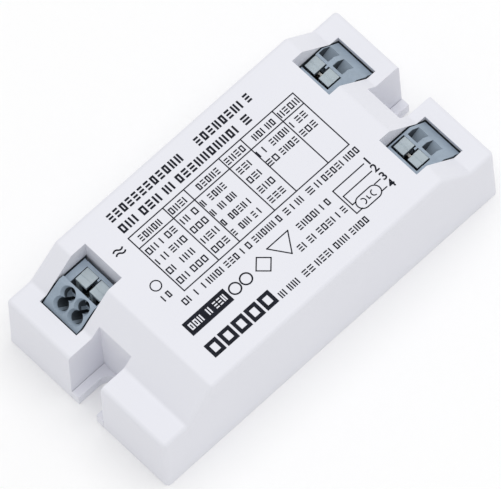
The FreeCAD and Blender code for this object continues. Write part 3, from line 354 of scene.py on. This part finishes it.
def mouth_cutter(node):
    """Prisms for a lamp terminal's square mouths: deep beside the tongues, rising out on to the facet."""
    low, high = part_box(node)
    planes = top_planes(node)
    top = max(place.z for place, normal in planes if normal.z > 0.99)
    facet, slope = next((place, normal) for place, normal in planes if normal.z < 0.9)
    bm = bmesh.new()
    for mount in frame["record"]["mounts"]:
        x, y, z = mount["pos_m"]
        if not mount["name"].startswith("lamp_wire") or not low.y < y < high.y:
            continue
        bend = x + mount["axis"][0] * (top - z) / mount["axis"][2]
        deep, shallow = bend - MOUTH_SETBACK, bend + MOUTH_REACH
        rise = facet.z - (shallow - facet.x) * slope.x / slope.z
        profile = [(deep, top - MOUTH_DEPTH), (shallow, rise), (shallow, top + MM), (deep, top + MM)]
        face = bm.faces.new([bm.verts.new((a, y - MOUTH_WIDTH / 2, b)) for a, b in profile])
        grown = bmesh.ops.extrude_face_region(bm, geom=[face])["geom"]
        moved = [item for item in grown if isinstance(item, bmesh.types.BMVert)]
        bmesh.ops.translate(bm, verts=moved, vec=(0, MOUTH_WIDTH, 0))
    bmesh.ops.recalc_face_normals(bm, faces=bm.faces)
    return bm


def carve(bm, cutter):
    """Cuts one closed mesh out of another."""
    holders = []
    for source in (bm, cutter):
        mesh = bpy.data.meshes.new("carving")
        source.to_mesh(mesh)
        source.clear()
        holder = bpy.data.objects.new("carving", mesh)
        bpy.context.scene.collection.objects.link(holder)
        holders.append(holder)
    cut = holders[0].modifiers.new("Mouths", "BOOLEAN")
    cut.operation = "DIFFERENCE"
    cut.solver = "EXACT"
    cut.object = holders[1]
    result = bpy.data.meshes.new_from_object(holders[0].evaluated_get(bpy.context.evaluated_depsgraph_get()))
    bm.from_mesh(result)
    cutter.free()
    bpy.data.meshes.remove(result)
    for holder in holders:
        mesh = holder.data
        bpy.data.objects.remove(holder)
        bpy.data.meshes.remove(mesh)


def split_at_tops(bm, nodes):
    """Splits the walls round some nodes where the nodes' tops meet them, so that painted shade can be given to the
    gaps.
    """
    for node in nodes:
        low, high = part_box(node)
        for place, normal in top_planes(node):
            near = [face for face in bm.faces if all(
                low[i] - GAP_REACH < face.calc_center_median()[i] < high[i] + GAP_REACH for i in (0, 1))]
            parts = {part for face in near for part in (face, *face.edges, *face.verts)}
            bmesh.ops.bisect_plane(bm, geom=list(parts), dist=MERGE, plane_co=place, plane_no=normal)


def paint_shade_on_inner_faces(bm, reach, neighbours):
    """Gives the second material, a painted shade, to faces that look at a face close by: in bores, chambers and
    gaps.
    """
    bm.normal_update()
    trees = [(BVHTree.FromBMesh(bm), reach)] if reach else []
    for node in neighbours:
        other = bmesh.new()
        other.from_mesh(NODES[node].data)
        trees.append((BVHTree.FromBMesh(other), GAP_REACH))
        other.free()
    for face in bm.faces:
        middle = face.calc_center_median()
        high = max((vert.co for vert in face.verts), key=lambda place: place.z)
        for point in (middle, middle.lerp(high, 0.8)):
            start = point + face.normal * LIFT
            if any(tree.ray_cast(start, face.normal, limit)[0] is not None for tree, limit in trees):
                face.material_index = 1


def softened_copy(node, name, width, material, body, accept, reach=0, neighbours=()):
    """A merged copy of a CAD node with its chosen outer edges rounded over, which stands for the node."""
    case = bpy.context.scene.ballast.case
    bm = bmesh.new()
    bm.from_mesh(NODES[node].data)
    bmesh.ops.remove_doubles(bm, verts=bm.verts, dist=MERGE)
    bmesh.ops.dissolve_limit(bm, angle_limit=FLAT, use_dissolve_boundaries=False, verts=bm.verts,
                             edges=bm.edges)
    if node.startswith("lamp_terminal"):
        carve(bm, mouth_cutter(node))
    edges = [edge for edge in bm.edges if edge.is_manifold and edge.is_convex and accept(edge)
             and edge.calc_face_angle() > case.sharp_angle and edge.calc_length() > EDGE_ROOM * width
             and clear_of_short_edges(edge, width)]
    bmesh.ops.bevel(bm, geom=edges, offset=width, offset_type="OFFSET", segments=EDGE_STEPS, profile=0.5,
                    affect="EDGES", clamp_overlap=True, material=-1, loop_slide=True)
    # Faces in bores, chambers and gaps take the dark second material: painted shade.
    if neighbours:
        split_at_tops(bm, neighbours)
        paint_shade_on_inner_faces(bm, reach, neighbours)
    for face in bm.faces:
        face.smooth = True
    for edge in bm.edges:
        edge.smooth = edge.is_manifold and edge.calc_face_angle() < case.sharp_angle
    piece = piece_from(bm, name, material, body)
    if neighbours:
        piece.data.materials.append(bpy.data.materials["Painted inner shade"])
    weighted = piece.modifiers.new("Even shading", "WEIGHTED_NORMAL")
    weighted.keep_sharp = True
    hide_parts(node)
    return piece


def height_of(edge):
    """The height of an edge's lower end."""
    return min(vert.co.z for vert in edge.verts)


# Print on the lid

TITLE_MARKS = [(-18.3, -1.2, 15.0), (2.5, 15.3, 15.0), (-18.3, -9.0, 12.1), (-7.8, 10.0, 12.1),
               (11.0, 12.5, 12.1)]
TITLE_HEIGHT, TITLE_STROKE = 1.75, 0.4
TABLE_SIDES = (-18.55, 21.15)
TABLE_ENDS = (-3.2, 11.05)
TABLE_HEADER = 8.05
TABLE_COLUMNS = (-10.33, -5.33, 3.07, 8.27, 15.93)
HEADER_WORDS = [(-17.1, -12.2), (-9.9, -5.7), (-3.3, 1.7), (3.5, 7.8), (10.1, 15.0), (16.3, 20.7)]
HEADER_LINE = 8.75
ROW_LINES = (5.95, 3.45, 0.8, -1.8)
ROW_WORDS = [[(-18.05, -15.7), (-14.8, -11.25)], [(-9.75, -6.15)], [(-5.0, -4.3), (-3.2, 0.5)],
             [(3.75, 7.25)]]
ROW_TAIL = (1.15, 2.35)
SHORT_ROW_WORDS = [[(8.5, 10.9), (11.6, 15.5)], [(16.5, 20.0)]]
SHORT_ROWS = 2
TEXT_HEIGHT, TEXT_STROKE = 1.35, 0.26
LOWER_LINE = [(-20.2, -18.0), (-17.3, -16.2), (-15.5, -7.2), (-6.3, -5.8), (-5.1, -4.2), (-3.4, 1.5),
              (2.2, 3.0), (4.0, 5.0), (5.7, 8.7), (9.5, 10.8), (11.5, 12.5), (13.2, 21.5)]
LOWER_LINE_FOOT = -5.35
SMALL_WORDS = [(3.7, 11.1, -9.0), (0.95, 12.15, -12.05), (-7.5, -2.7, -16.1), (-1.8, 0.5, -16.1),
               (1.2, 8.7, -16.1), (9.5, 13.4, -16.1), (-22.2, -20.4, -2.3)]
PLACE_BLOCKS = (-23.4, -8.2, -16.05, -13.0)
PLACE_COUNT, PLACE_GAP, PLACE_STROKE = 5, 0.45, 0.72
MARK_WIDTH, MARK_GAP, NARROWEST_PAIR = 0.62, 1.1, 2.4
ARC_STEP, LEAST_ARC_STEPS = 9, 6
CIRCLE, CIRCLE_RADIUS = (-21.25, 1.07), 1.0
WAVE_ENDS, WAVE_LINES = (-22.25, -20.2), (10.6, 9.8)
WAVE_SWELL, WAVE_STROKE = 0.26, 0.32
RINGS, RING_RADIUS, RING_STROKE = ((-11.95, -8.95), (-9.35, -8.95)), 1.1, 0.3
DIAMOND = [(-5.3, -7.3), (-3.5, -9.1), (-5.3, -10.9), (-7.1, -9.1)]
TRIANGLE = [(-2.9, -7.4), (2.1, -7.4), (-0.4, -11.1)]
WIRING_RUNS = [[(20.2, -7.55), (12.8, -7.55), (12.8, -13.5), (14.2, -13.5)],
               [(20.2, -9.53), (13.4, -9.53), (13.4, -11.8), (14.2, -11.8)],
               [(18.9, -11.65), (20.2, -11.65)], [(18.9, -13.5), (20.0, -13.5)],
               [(15.1, -11.4), (17.8, -11.4)], [(15.1, -13.95), (17.8, -13.95)]]
TUBE_ENDS, TUBE_MIDDLE, TUBE_RADIUS, FILAMENT_RADIUS = (15.1, 17.8), -12.675, 1.275, 0.62
TUBE_SIGN = (16.2, -13.1, 16.75, -12.2)
NUMBER_LINES = (("1", -7.55), ("2", -9.4), ("3", -11.55), ("4", -13.55))
NUMBER_COLUMN, NUMBER_HEIGHT, NUMBER_WEIGHT = 21.05, 1.7, 0.022
BADGE = (-23.25, -10.4, -13.5, -7.4)
BADGE_WORDS = [(-22.6, -19.7, -9.55), (-18.5, -17.7, -9.55), (-16.8, -14.2, -9.55)]
BADGE_TEXT_HEIGHT = 1.4


def ink_bar(bm, low_x, low_y, high_x, high_y, level=0):
    """A flat bar of ink on the lid; a higher level lies on ink below it."""
    ink = bpy.context.scene.ballast.lid_print
    top = LID_TOP + ink.rise * (1 + level)
    foot = LID_TOP - ink.sink
    middle = Vector(((low_x + high_x) / 2 * MM, (low_y + high_y) / 2 * MM, (top + foot) / 2))
    size = Vector(((high_x - low_x) * MM, (high_y - low_y) * MM, top - foot, 1))
    bmesh.ops.create_cube(bm, size=1, matrix=Matrix.Translation(middle) @ Matrix.Diagonal(size))


def ink_line(bm, start, end, width):
    """A straight stroke of ink between two points of the lid."""
    ink = bpy.context.scene.ballast.lid_print
    run = Vector(end) - Vector(start)
    middle = (Vector(start) + Vector(end)) / 2
    place = Matrix.Translation((middle.x * MM, middle.y * MM, LID_TOP + (ink.rise - ink.sink) / 2))
    turn = Matrix.Rotation(math.atan2(run.y, run.x), 4, "Z")
    size = Matrix.Diagonal(((run.length + width) * MM, width * MM, ink.rise + ink.sink, 1))
    bmesh.ops.create_cube(bm, size=1, matrix=place @ turn @ size)


def ink_arc(bm, centre, radius, width, start, sweep):
    """A curved stroke: the stroke's section, spun about a centre."""
    ink = bpy.context.scene.ballast.lid_print
    whole = abs(sweep) >= 360
    place = Matrix.Translation((centre[0] * MM, centre[1] * MM, LID_TOP + (ink.rise - ink.sink) / 2))
    turn = Matrix.Rotation(math.radians(start), 4, "Z") @ Matrix.Translation((radius * MM, 0, 0))
    size = Matrix.Diagonal((width * MM, 1, ink.rise + ink.sink, 1)) @ Matrix.Rotation(math.pi / 2, 4, "X")
    section = bmesh.ops.create_grid(bm, x_segments=1, y_segments=1, size=0.5,
                                    matrix=place @ turn @ size)["verts"]
    rim = list({edge for vert in section for edge in vert.link_edges})
    bmesh.ops.delete(bm, geom=list(section[0].link_faces), context="FACES_ONLY")
    steps = max(LEAST_ARC_STEPS, round(abs(sweep) / ARC_STEP))
    spun = bmesh.ops.spin(bm, geom=section + rim, cent=(centre[0] * MM, centre[1] * MM, 0), axis=(0, 0, 1),
                          angle=math.radians(sweep), steps=steps, use_merge=whole)
    if not whole:
        last = [item for item in spun["geom_last"] if isinstance(item, bmesh.types.BMEdge)]
        bmesh.ops.holes_fill(bm, edges=rim + last, sides=4)


def ink_frame(bm, low_x, low_y, high_x, high_y, width):
    """The outline of a box."""
    ink_bar(bm, low_x, low_y, high_x, low_y + width)
    ink_bar(bm, low_x, high_y - width, high_x, high_y)
    ink_bar(bm, low_x, low_y + width, low_x + width, high_y - width)
    ink_bar(bm, high_x - width, low_y + width, high_x, high_y - width)


def stand_in_word(bm, chance, low_x, high_x, foot, height, stroke, level=0):
    """A row of plain ticks, dashes and boxes where the object carries a word."""
    gap = stroke * MARK_GAP
    count = max(1, round((high_x - low_x + gap) / (height * MARK_WIDTH + gap)))
    pitch = (high_x - low_x + gap) / count
    wide = pitch - gap
    narrow = wide < NARROWEST_PAIR * stroke
    for i in range(count):
        left = low_x + i * pitch
        right = left + wide
        kind = chance.choice(("tick", "pair", "box", "dashes", "box", "pair", "dashes"))
        top = foot + height
        if kind in ("tick", "pair") or narrow:
            ink_bar(bm, left, foot, left + stroke, top, level)
            if kind == "pair" and not narrow:
                ink_bar(bm, right - stroke, foot, right, top, level)
        elif kind == "box":
            ink_bar(bm, left, foot, right, foot + stroke, level)
            ink_bar(bm, left, top - stroke, right, top, level)
            ink_bar(bm, left, foot + stroke, left + stroke, top - stroke, level)
            ink_bar(bm, right - stroke, foot + stroke, right, top - stroke, level)
        else:
            for line in (foot, foot + (height - stroke) / 2, top - stroke):
                ink_bar(bm, left, line, right, line + stroke, level)


def wave_stroke(bm, low_x, high_x, middle, swell, width):
    """One wave: a crest and a trough."""
    span = (high_x - low_x) / 2
    radius = (span * span / 4 + swell * swell) / (2 * swell)
    half = math.degrees(math.asin(span / 2 / radius))
    ink_arc(bm, (low_x + span / 2, middle + swell - radius), radius, width, 90 + half, -2 * half)
    ink_arc(bm, (high_x - span / 2, middle - swell + radius), radius, width, 270 - half, 2 * half)


def digit(bm, text, x, y, height):
    """A plain number, set in Blender's own typeface."""
    ink = bpy.context.scene.ballast.lid_print
    curve = bpy.data.curves.new("number", "FONT")
    curve.body = text
    curve.size = 1.0
    curve.align_x = "CENTER"
    curve.extrude = 0.5
    curve.offset = NUMBER_WEIGHT
    curve.resolution_u = 4
    holder = bpy.data.objects.new("number", curve)
    bpy.context.scene.collection.objects.link(holder)
    mesh = bpy.data.meshes.new_from_object(holder.evaluated_get(bpy.context.evaluated_depsgraph_get()))
    low = min(vert.co.y for vert in mesh.vertices)
    high = max(vert.co.y for vert in mesh.vertices)
    scale = height * MM / (high - low)
    mesh.transform(Matrix.Translation((x * MM, y * MM - height * MM / 2, LID_TOP + (ink.rise - ink.sink) / 2))
                   @ Matrix.Diagonal((scale, scale, ink.rise + ink.sink, 1))
                   @ Matrix.Translation((0, -low, 0)))
    bm.from_mesh(mesh)
    bpy.data.objects.remove(holder)
    bpy.data.curves.remove(curve)
    bpy.data.meshes.remove(mesh)


def print_piece(bm, name, material):
    """Closes a print's mesh and lays it on the lid."""
    bmesh.ops.remove_doubles(bm, verts=bm.verts, dist=MERGE / 10)
    bmesh.ops.recalc_face_normals(bm, faces=bm.faces)
    return piece_from(bm, name, material)


# Operators


class BALLAST_OT_finishes(bpy.types.Operator):
    """Makes the shared surface groups and the finishes of the outer pieces"""
    bl_idname = "ballast.finishes"
    bl_label = "Make finishes"

    def execute(self, context):
        case = context.scene.ballast.case
        moulded_surface_group()
        wound_wire_group()
        surface_material("White plastic", case.white, shaded(case.white, 0.985), (0.42, 0.56), tone=45,
                         grain=2600, contrast=0.15, depth=0.003)
        surface_material("Terminal plastic", case.grey, shaded(case.grey, 0.86), (0.38, 0.56), tone=350,
                         grain=2200, contrast=0.5, depth=0.006)
        surface_material("Tongue plastic", case.tongue, shaded(case.tongue, 0.88), (0.36, 0.52), tone=420,
                         grain=2200, contrast=0.5, depth=0.006)
        # A dark finish that paints shade into bores, chambers and the gaps round terminals and tongues.
        surface_material("Painted inner shade", shaded(case.grey, 0.25), shaded(case.grey, 0.18), (0.6, 0.8),
                         tone=350, grain=2200, contrast=0.4, specular=0.15)
        ink = context.scene.ballast.lid_print.ink
        surface_material("Lid ink", ink, shaded(ink, 2.2), (0.45, 0.65), tone=900, grain=5000, contrast=0.6,
                         depth=0.002, specular=0.12)
        return {"FINISHED"}


class BALLAST_OT_case(bpy.types.Operator):
    """Finishes the white cover and the base plate with softly rounded edges"""
    bl_idname = "ballast.case"
    bl_label = "Finish case"

    def execute(self, context):
        white = bpy.data.materials["White plastic"]
        edge = context.scene.ballast.case.edge
        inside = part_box("base_plate")[1].z
        softened_copy("housing_cover", "case_shell", edge, white, "root",
                      lambda item: height_of(item) > inside, neighbours=TERMINAL_BODIES)
        softened_copy("base_plate", "case_floor", edge / 2, white, "root",
                      lambda item: height_of(item) < FLOOR_EDGES_BELOW)
        return {"FINISHED"}


class BALLAST_OT_terminals(bpy.types.Operator):
    """Finishes the three terminal blocks"""
    bl_idname = "ballast.terminals"
    bl_label = "Finish terminals"

    def execute(self, context):
        grey = bpy.data.materials["Terminal plastic"]
        width = context.scene.ballast.case.terminal_edge
        for node, name in (("mains_terminal_body", "mains_terminal_block"),
                           ("lamp_terminal_12_body", "lamp_terminal_block_12"),
                           ("lamp_terminal_34_body", "lamp_terminal_block_34")):
            softened_copy(node, name, width, grey, "root",
                          lambda item: height_of(item) > TERMINAL_EDGES_ABOVE, BORE_REACH, ("housing_cover",))
        return {"FINISHED"}


class BALLAST_OT_tongues(bpy.types.Operator):
    """Finishes the six release tongues, each on its own body"""
    bl_idname = "ballast.tongues"
    bl_label = "Finish tongues"

    def execute(self, context):
        grey = bpy.data.materials["Tongue plastic"]
        width = context.scene.ballast.case.tongue_edge
        for joint in frame["joints"]:
            body = joint["child"]
            for node in frame["record"]["behaviour"]["bodies"][body]:
                softened_copy(node, f"{node}_tab", width, grey, body, lambda item: True,
                              neighbours=TERMINAL_BODIES)
        return {"FINISHED"}


class BALLAST_OT_inner_parts(bpy.types.Operator):
    """Gives the circuit board, its components, contacts and springs their finishes"""
    bl_idname = "ballast.inner_parts"
    bl_label = "Finish inner parts"

    def execute(self, context):
        finishes = {name: surface_material(f"{name} finish", colour, second, rough, **options)
                    for name, (colour, second, rough, options) in INNER_FINISHES.items()}
        for node, (direction, pitch) in WINDINGS.items():
            finishes[node] = surface_material(f"{node}_wire", *COPPER, tone=600,
                                              turns=(direction, pitch, COPPER_TURN_SHADE))
        for node, piece in NODES.items():
            if piece.hide_render:
                continue
            key = node if node in WINDINGS else next(
                (finish for start, finish in INNER_NODES.items() if node.startswith(start)), None)
            if key is None:
                raise RuntimeError(f"{node} has no finish")
            for place in piece.material_slots:
                place.material = finishes[key]
        return {"FINISHED"}


class BALLAST_OT_words(bpy.types.Operator):
    """Prints the two heading lines and the small lines, as plain marks"""
    bl_idname = "ballast.words"
    bl_label = "Print lines"

    def execute(self, context):
        ink = bpy.data.materials["Lid ink"]
        chance = random.Random(context.scene.ballast.lid_print.seed)
        bm = bmesh.new()
        for low, high, foot in TITLE_MARKS:
            stand_in_word(bm, chance, low, high, foot, TITLE_HEIGHT, TITLE_STROKE)
        print_piece(bm, "heading_print", ink)
        bm = bmesh.new()
        for low, high in LOWER_LINE:
            stand_in_word(bm, chance, low, high, LOWER_LINE_FOOT, TEXT_HEIGHT, TEXT_STROKE)
        for low, high, foot in SMALL_WORDS:
            stand_in_word(bm, chance, low, high, foot, TEXT_HEIGHT, TEXT_STROKE)
        print_piece(bm, "small_print", ink)
        return {"FINISHED"}


class BALLAST_OT_table(bpy.types.Operator):
    """Prints the ruled table and the marks in its cells"""
    bl_idname = "ballast.table"
    bl_label = "Print table"

    def execute(self, context):
        ink = bpy.data.materials["Lid ink"]
        settings = context.scene.ballast.lid_print
        rule = settings.rule / MM
        chance = random.Random(settings.seed + 1)
        bm = bmesh.new()
        ink_frame(bm, TABLE_SIDES[0], TABLE_ENDS[0], TABLE_SIDES[1], TABLE_ENDS[1], rule)
        ink_bar(bm, TABLE_SIDES[0] + rule, TABLE_HEADER, TABLE_SIDES[1] - rule, TABLE_HEADER + rule)
        for x in TABLE_COLUMNS:
            ink_bar(bm, x, TABLE_ENDS[0] + rule, x + rule, TABLE_HEADER)
            ink_bar(bm, x, TABLE_HEADER + rule, x + rule, TABLE_ENDS[1] - rule)
        print_piece(bm, "table_rules", ink)
        bm = bmesh.new()
        for low, high in HEADER_WORDS:
            stand_in_word(bm, chance, low, high, HEADER_LINE, TEXT_HEIGHT, TEXT_STROKE)
        for number, line in enumerate(ROW_LINES):
            cells = ROW_WORDS + (SHORT_ROW_WORDS if number < SHORT_ROWS else [[ROW_TAIL]])
            for low, high in (word for cell in cells for word in cell):
                stand_in_word(bm, chance, low, high, line, TEXT_HEIGHT, TEXT_STROKE)
        print_piece(bm, "table_marks", ink)
        return {"FINISHED"}


class BALLAST_OT_marks(bpy.types.Operator):
    """Prints the dark badge, the plain blocks and outlines, the circle and the wave sign"""
    bl_idname = "ballast.marks"
    bl_label = "Print marks"

    def execute(self, context):
        ink = bpy.data.materials["Lid ink"]
        settings = context.scene.ballast.lid_print
        rule = settings.rule / MM
        chance = random.Random(settings.seed + 2)
        bm = bmesh.new()
        ink_bar(bm, *BADGE)
        print_piece(bm, "badge_field", ink)
        bm = bmesh.new()
        for low, high, foot in BADGE_WORDS:
            stand_in_word(bm, chance, low, high, foot, BADGE_TEXT_HEIGHT, TEXT_STROKE, level=1)
        print_piece(bm, "badge_marks", bpy.data.materials["White plastic"])
        bm = bmesh.new()
        low_x, high_x, low_y, high_y = PLACE_BLOCKS
        pitch = (high_x - low_x + PLACE_GAP) / PLACE_COUNT
        for i in range(PLACE_COUNT):
            left = low_x + i * pitch
            ink_frame(bm, left, low_y, left + pitch - PLACE_GAP, high_y, PLACE_STROKE)
        print_piece(bm, "plain_blocks", ink)
        bm = bmesh.new()
        ink_arc(bm, CIRCLE, CIRCLE_RADIUS, rule, 0, 360)
        for middle in WAVE_LINES:
            wave_stroke(bm, *WAVE_ENDS, middle, WAVE_SWELL, WAVE_STROKE)
        for middle in RINGS:
            ink_arc(bm, middle, RING_RADIUS, RING_STROKE, 0, 360)
        for corners in (DIAMOND, TRIANGLE):
            for start, end in zip(corners, corners[1:] + corners[:1]):
                ink_line(bm, start, end, rule)
        print_piece(bm, "sign_print", ink)
        return {"FINISHED"}


class BALLAST_OT_wiring(bpy.types.Operator):
    """Prints the lamp's wiring sketch with the four terminal numbers"""
    bl_idname = "ballast.wiring"
    bl_label = "Print wiring sketch"

    def execute(self, context):
        rule = context.scene.ballast.lid_print.rule / MM
        bm = bmesh.new()
        for run in WIRING_RUNS:
            for start, end in zip(run, run[1:]):
                ink_line(bm, start, end, rule)
        for x, start in zip(TUBE_ENDS, (90, -90)):
            ink_arc(bm, (x, TUBE_MIDDLE), TUBE_RADIUS, rule, start, 180)
            ink_arc(bm, (x, TUBE_MIDDLE), FILAMENT_RADIUS, rule, start - 180, 180)
        left, foot, right, top = TUBE_SIGN
        ink_bar(bm, left, foot, left + rule, top)
        ink_bar(bm, left + rule, foot, right, foot + rule)
        for text, y in NUMBER_LINES:
            digit(bm, text, NUMBER_COLUMN, y, NUMBER_HEIGHT)
        print_piece(bm, "wiring_print", bpy.data.materials["Lid ink"])
        return {"FINISHED"}


FLOOR_REACH = 3
LAMP_PLACE, LAMP_SIZE = (0.12, -0.03, 0.95), 0.9
SENSOR_WIDTH, NEAR_CLIP, FAR_CLIP = 36, 0.1, 20
CAMERA_PLACE = Matrix(((0.7197, 0.6396, -0.2700, -0.4751),
                       (-0.6931, 0.6396, -0.3324, -0.5844),
                       (-0.0399, 0.4264, 0.9036, 1.5976),
                       (0, 0, 0, 1)))


class BALLAST_OT_stage(bpy.types.Operator):
    """Sets the floor, the soft lights and the camera"""
    bl_idname = "ballast.stage"
    bl_label = "Set stage"

    def execute(self, context):
        stage = context.scene.ballast.stage
        bm = bmesh.new()
        bmesh.ops.create_grid(bm, x_segments=1, y_segments=1, size=FLOOR_REACH,
                              matrix=Matrix.Translation((0, 0, -LIFT)))
        mesh = bpy.data.meshes.new("floor")
        bm.to_mesh(mesh)
        bm.free()
        floor = bpy.data.objects.new("floor", mesh)
        context.scene.collection.objects.link(floor)
        material = bpy.data.materials.new("floor_white")
        material.use_nodes = True
        shader = material.node_tree.nodes["Principled BSDF"]
        shader.inputs["Base Color"].default_value = (*stage.floor, 1)
        shader.inputs["Roughness"].default_value = 0.9
        shader.inputs["Specular IOR Level"].default_value = 0.1
        mesh.materials.append(material)

        world = bpy.data.worlds.new("studio")
        world.use_nodes = True
        sky = world.node_tree.nodes["Background"]
        sky.inputs["Color"].default_value = (1.0, 1.0, 1.0, 1)
        sky.inputs["Strength"].default_value = stage.sky
        context.scene.world = world

        lamp = bpy.data.lights.new("overhead", "AREA")
        lamp.energy = stage.overhead
        lamp.size = LAMP_SIZE
        holder = bpy.data.objects.new("overhead", lamp)
        context.scene.collection.objects.link(holder)
        holder.location = LAMP_PLACE
        holder.rotation_euler = (Vector((0, 0, 0)) - holder.location).to_track_quat("-Z", "Y").to_euler()

        lens = bpy.data.cameras.new("camera")
        lens.sensor_fit = "HORIZONTAL"
        lens.sensor_width = SENSOR_WIDTH
        lens.lens = stage.lens
        lens.clip_start = NEAR_CLIP
        lens.clip_end = FAR_CLIP
        camera = bpy.data.objects.new("camera", lens)
        context.scene.collection.objects.link(camera)
        camera.matrix_world = CAMERA_PLACE
        context.scene.camera = camera
        context.scene.view_settings.view_transform = "Standard"
        return {"FINISHED"}


STEPS = (BALLAST_OT_finishes, BALLAST_OT_case, BALLAST_OT_terminals, BALLAST_OT_tongues,
         BALLAST_OT_inner_parts, BALLAST_OT_words, BALLAST_OT_table, BALLAST_OT_marks, BALLAST_OT_wiring,
         BALLAST_OT_stage)


class BALLAST_PT_sidebar(bpy.types.Panel):
    """Lists the steps that dress the ballast"""
    bl_idname = "BALLAST_PT_sidebar"
    bl_label = "Lamp ballast"
    bl_space_type = "VIEW_3D"
    bl_region_type = "UI"
    bl_category = "Ballast"

    def draw(self, context):
        settings = context.scene.ballast
        for group in (settings.case, settings.lid_print, settings.stage):
            for name in group.bl_rna.properties.keys():
                if name not in ("rna_type", "name"):
                    self.layout.prop(group, name)
        for step in STEPS:
            self.layout.operator(step.bl_idname)


CLASSES = (BallastCase, BallastPrint, BallastStage, BallastSettings, *STEPS, BALLAST_PT_sidebar)


def register():
    for item in CLASSES:
        bpy.utils.register_class(item)
    bpy.types.Scene.ballast = PointerProperty(type=BallastSettings, name="Ballast",
                                              description="Settings of the lamp ballast")


def unregister():
    del bpy.types.Scene.ballast
    for item in reversed(CLASSES):
        bpy.utils.unregister_class(item)


def main():
    register()
    for step in STEPS:
        group, name = step.bl_idname.split(".")
        getattr(getattr(bpy.ops, group), name)()


if __name__ == "__main__":
    main()
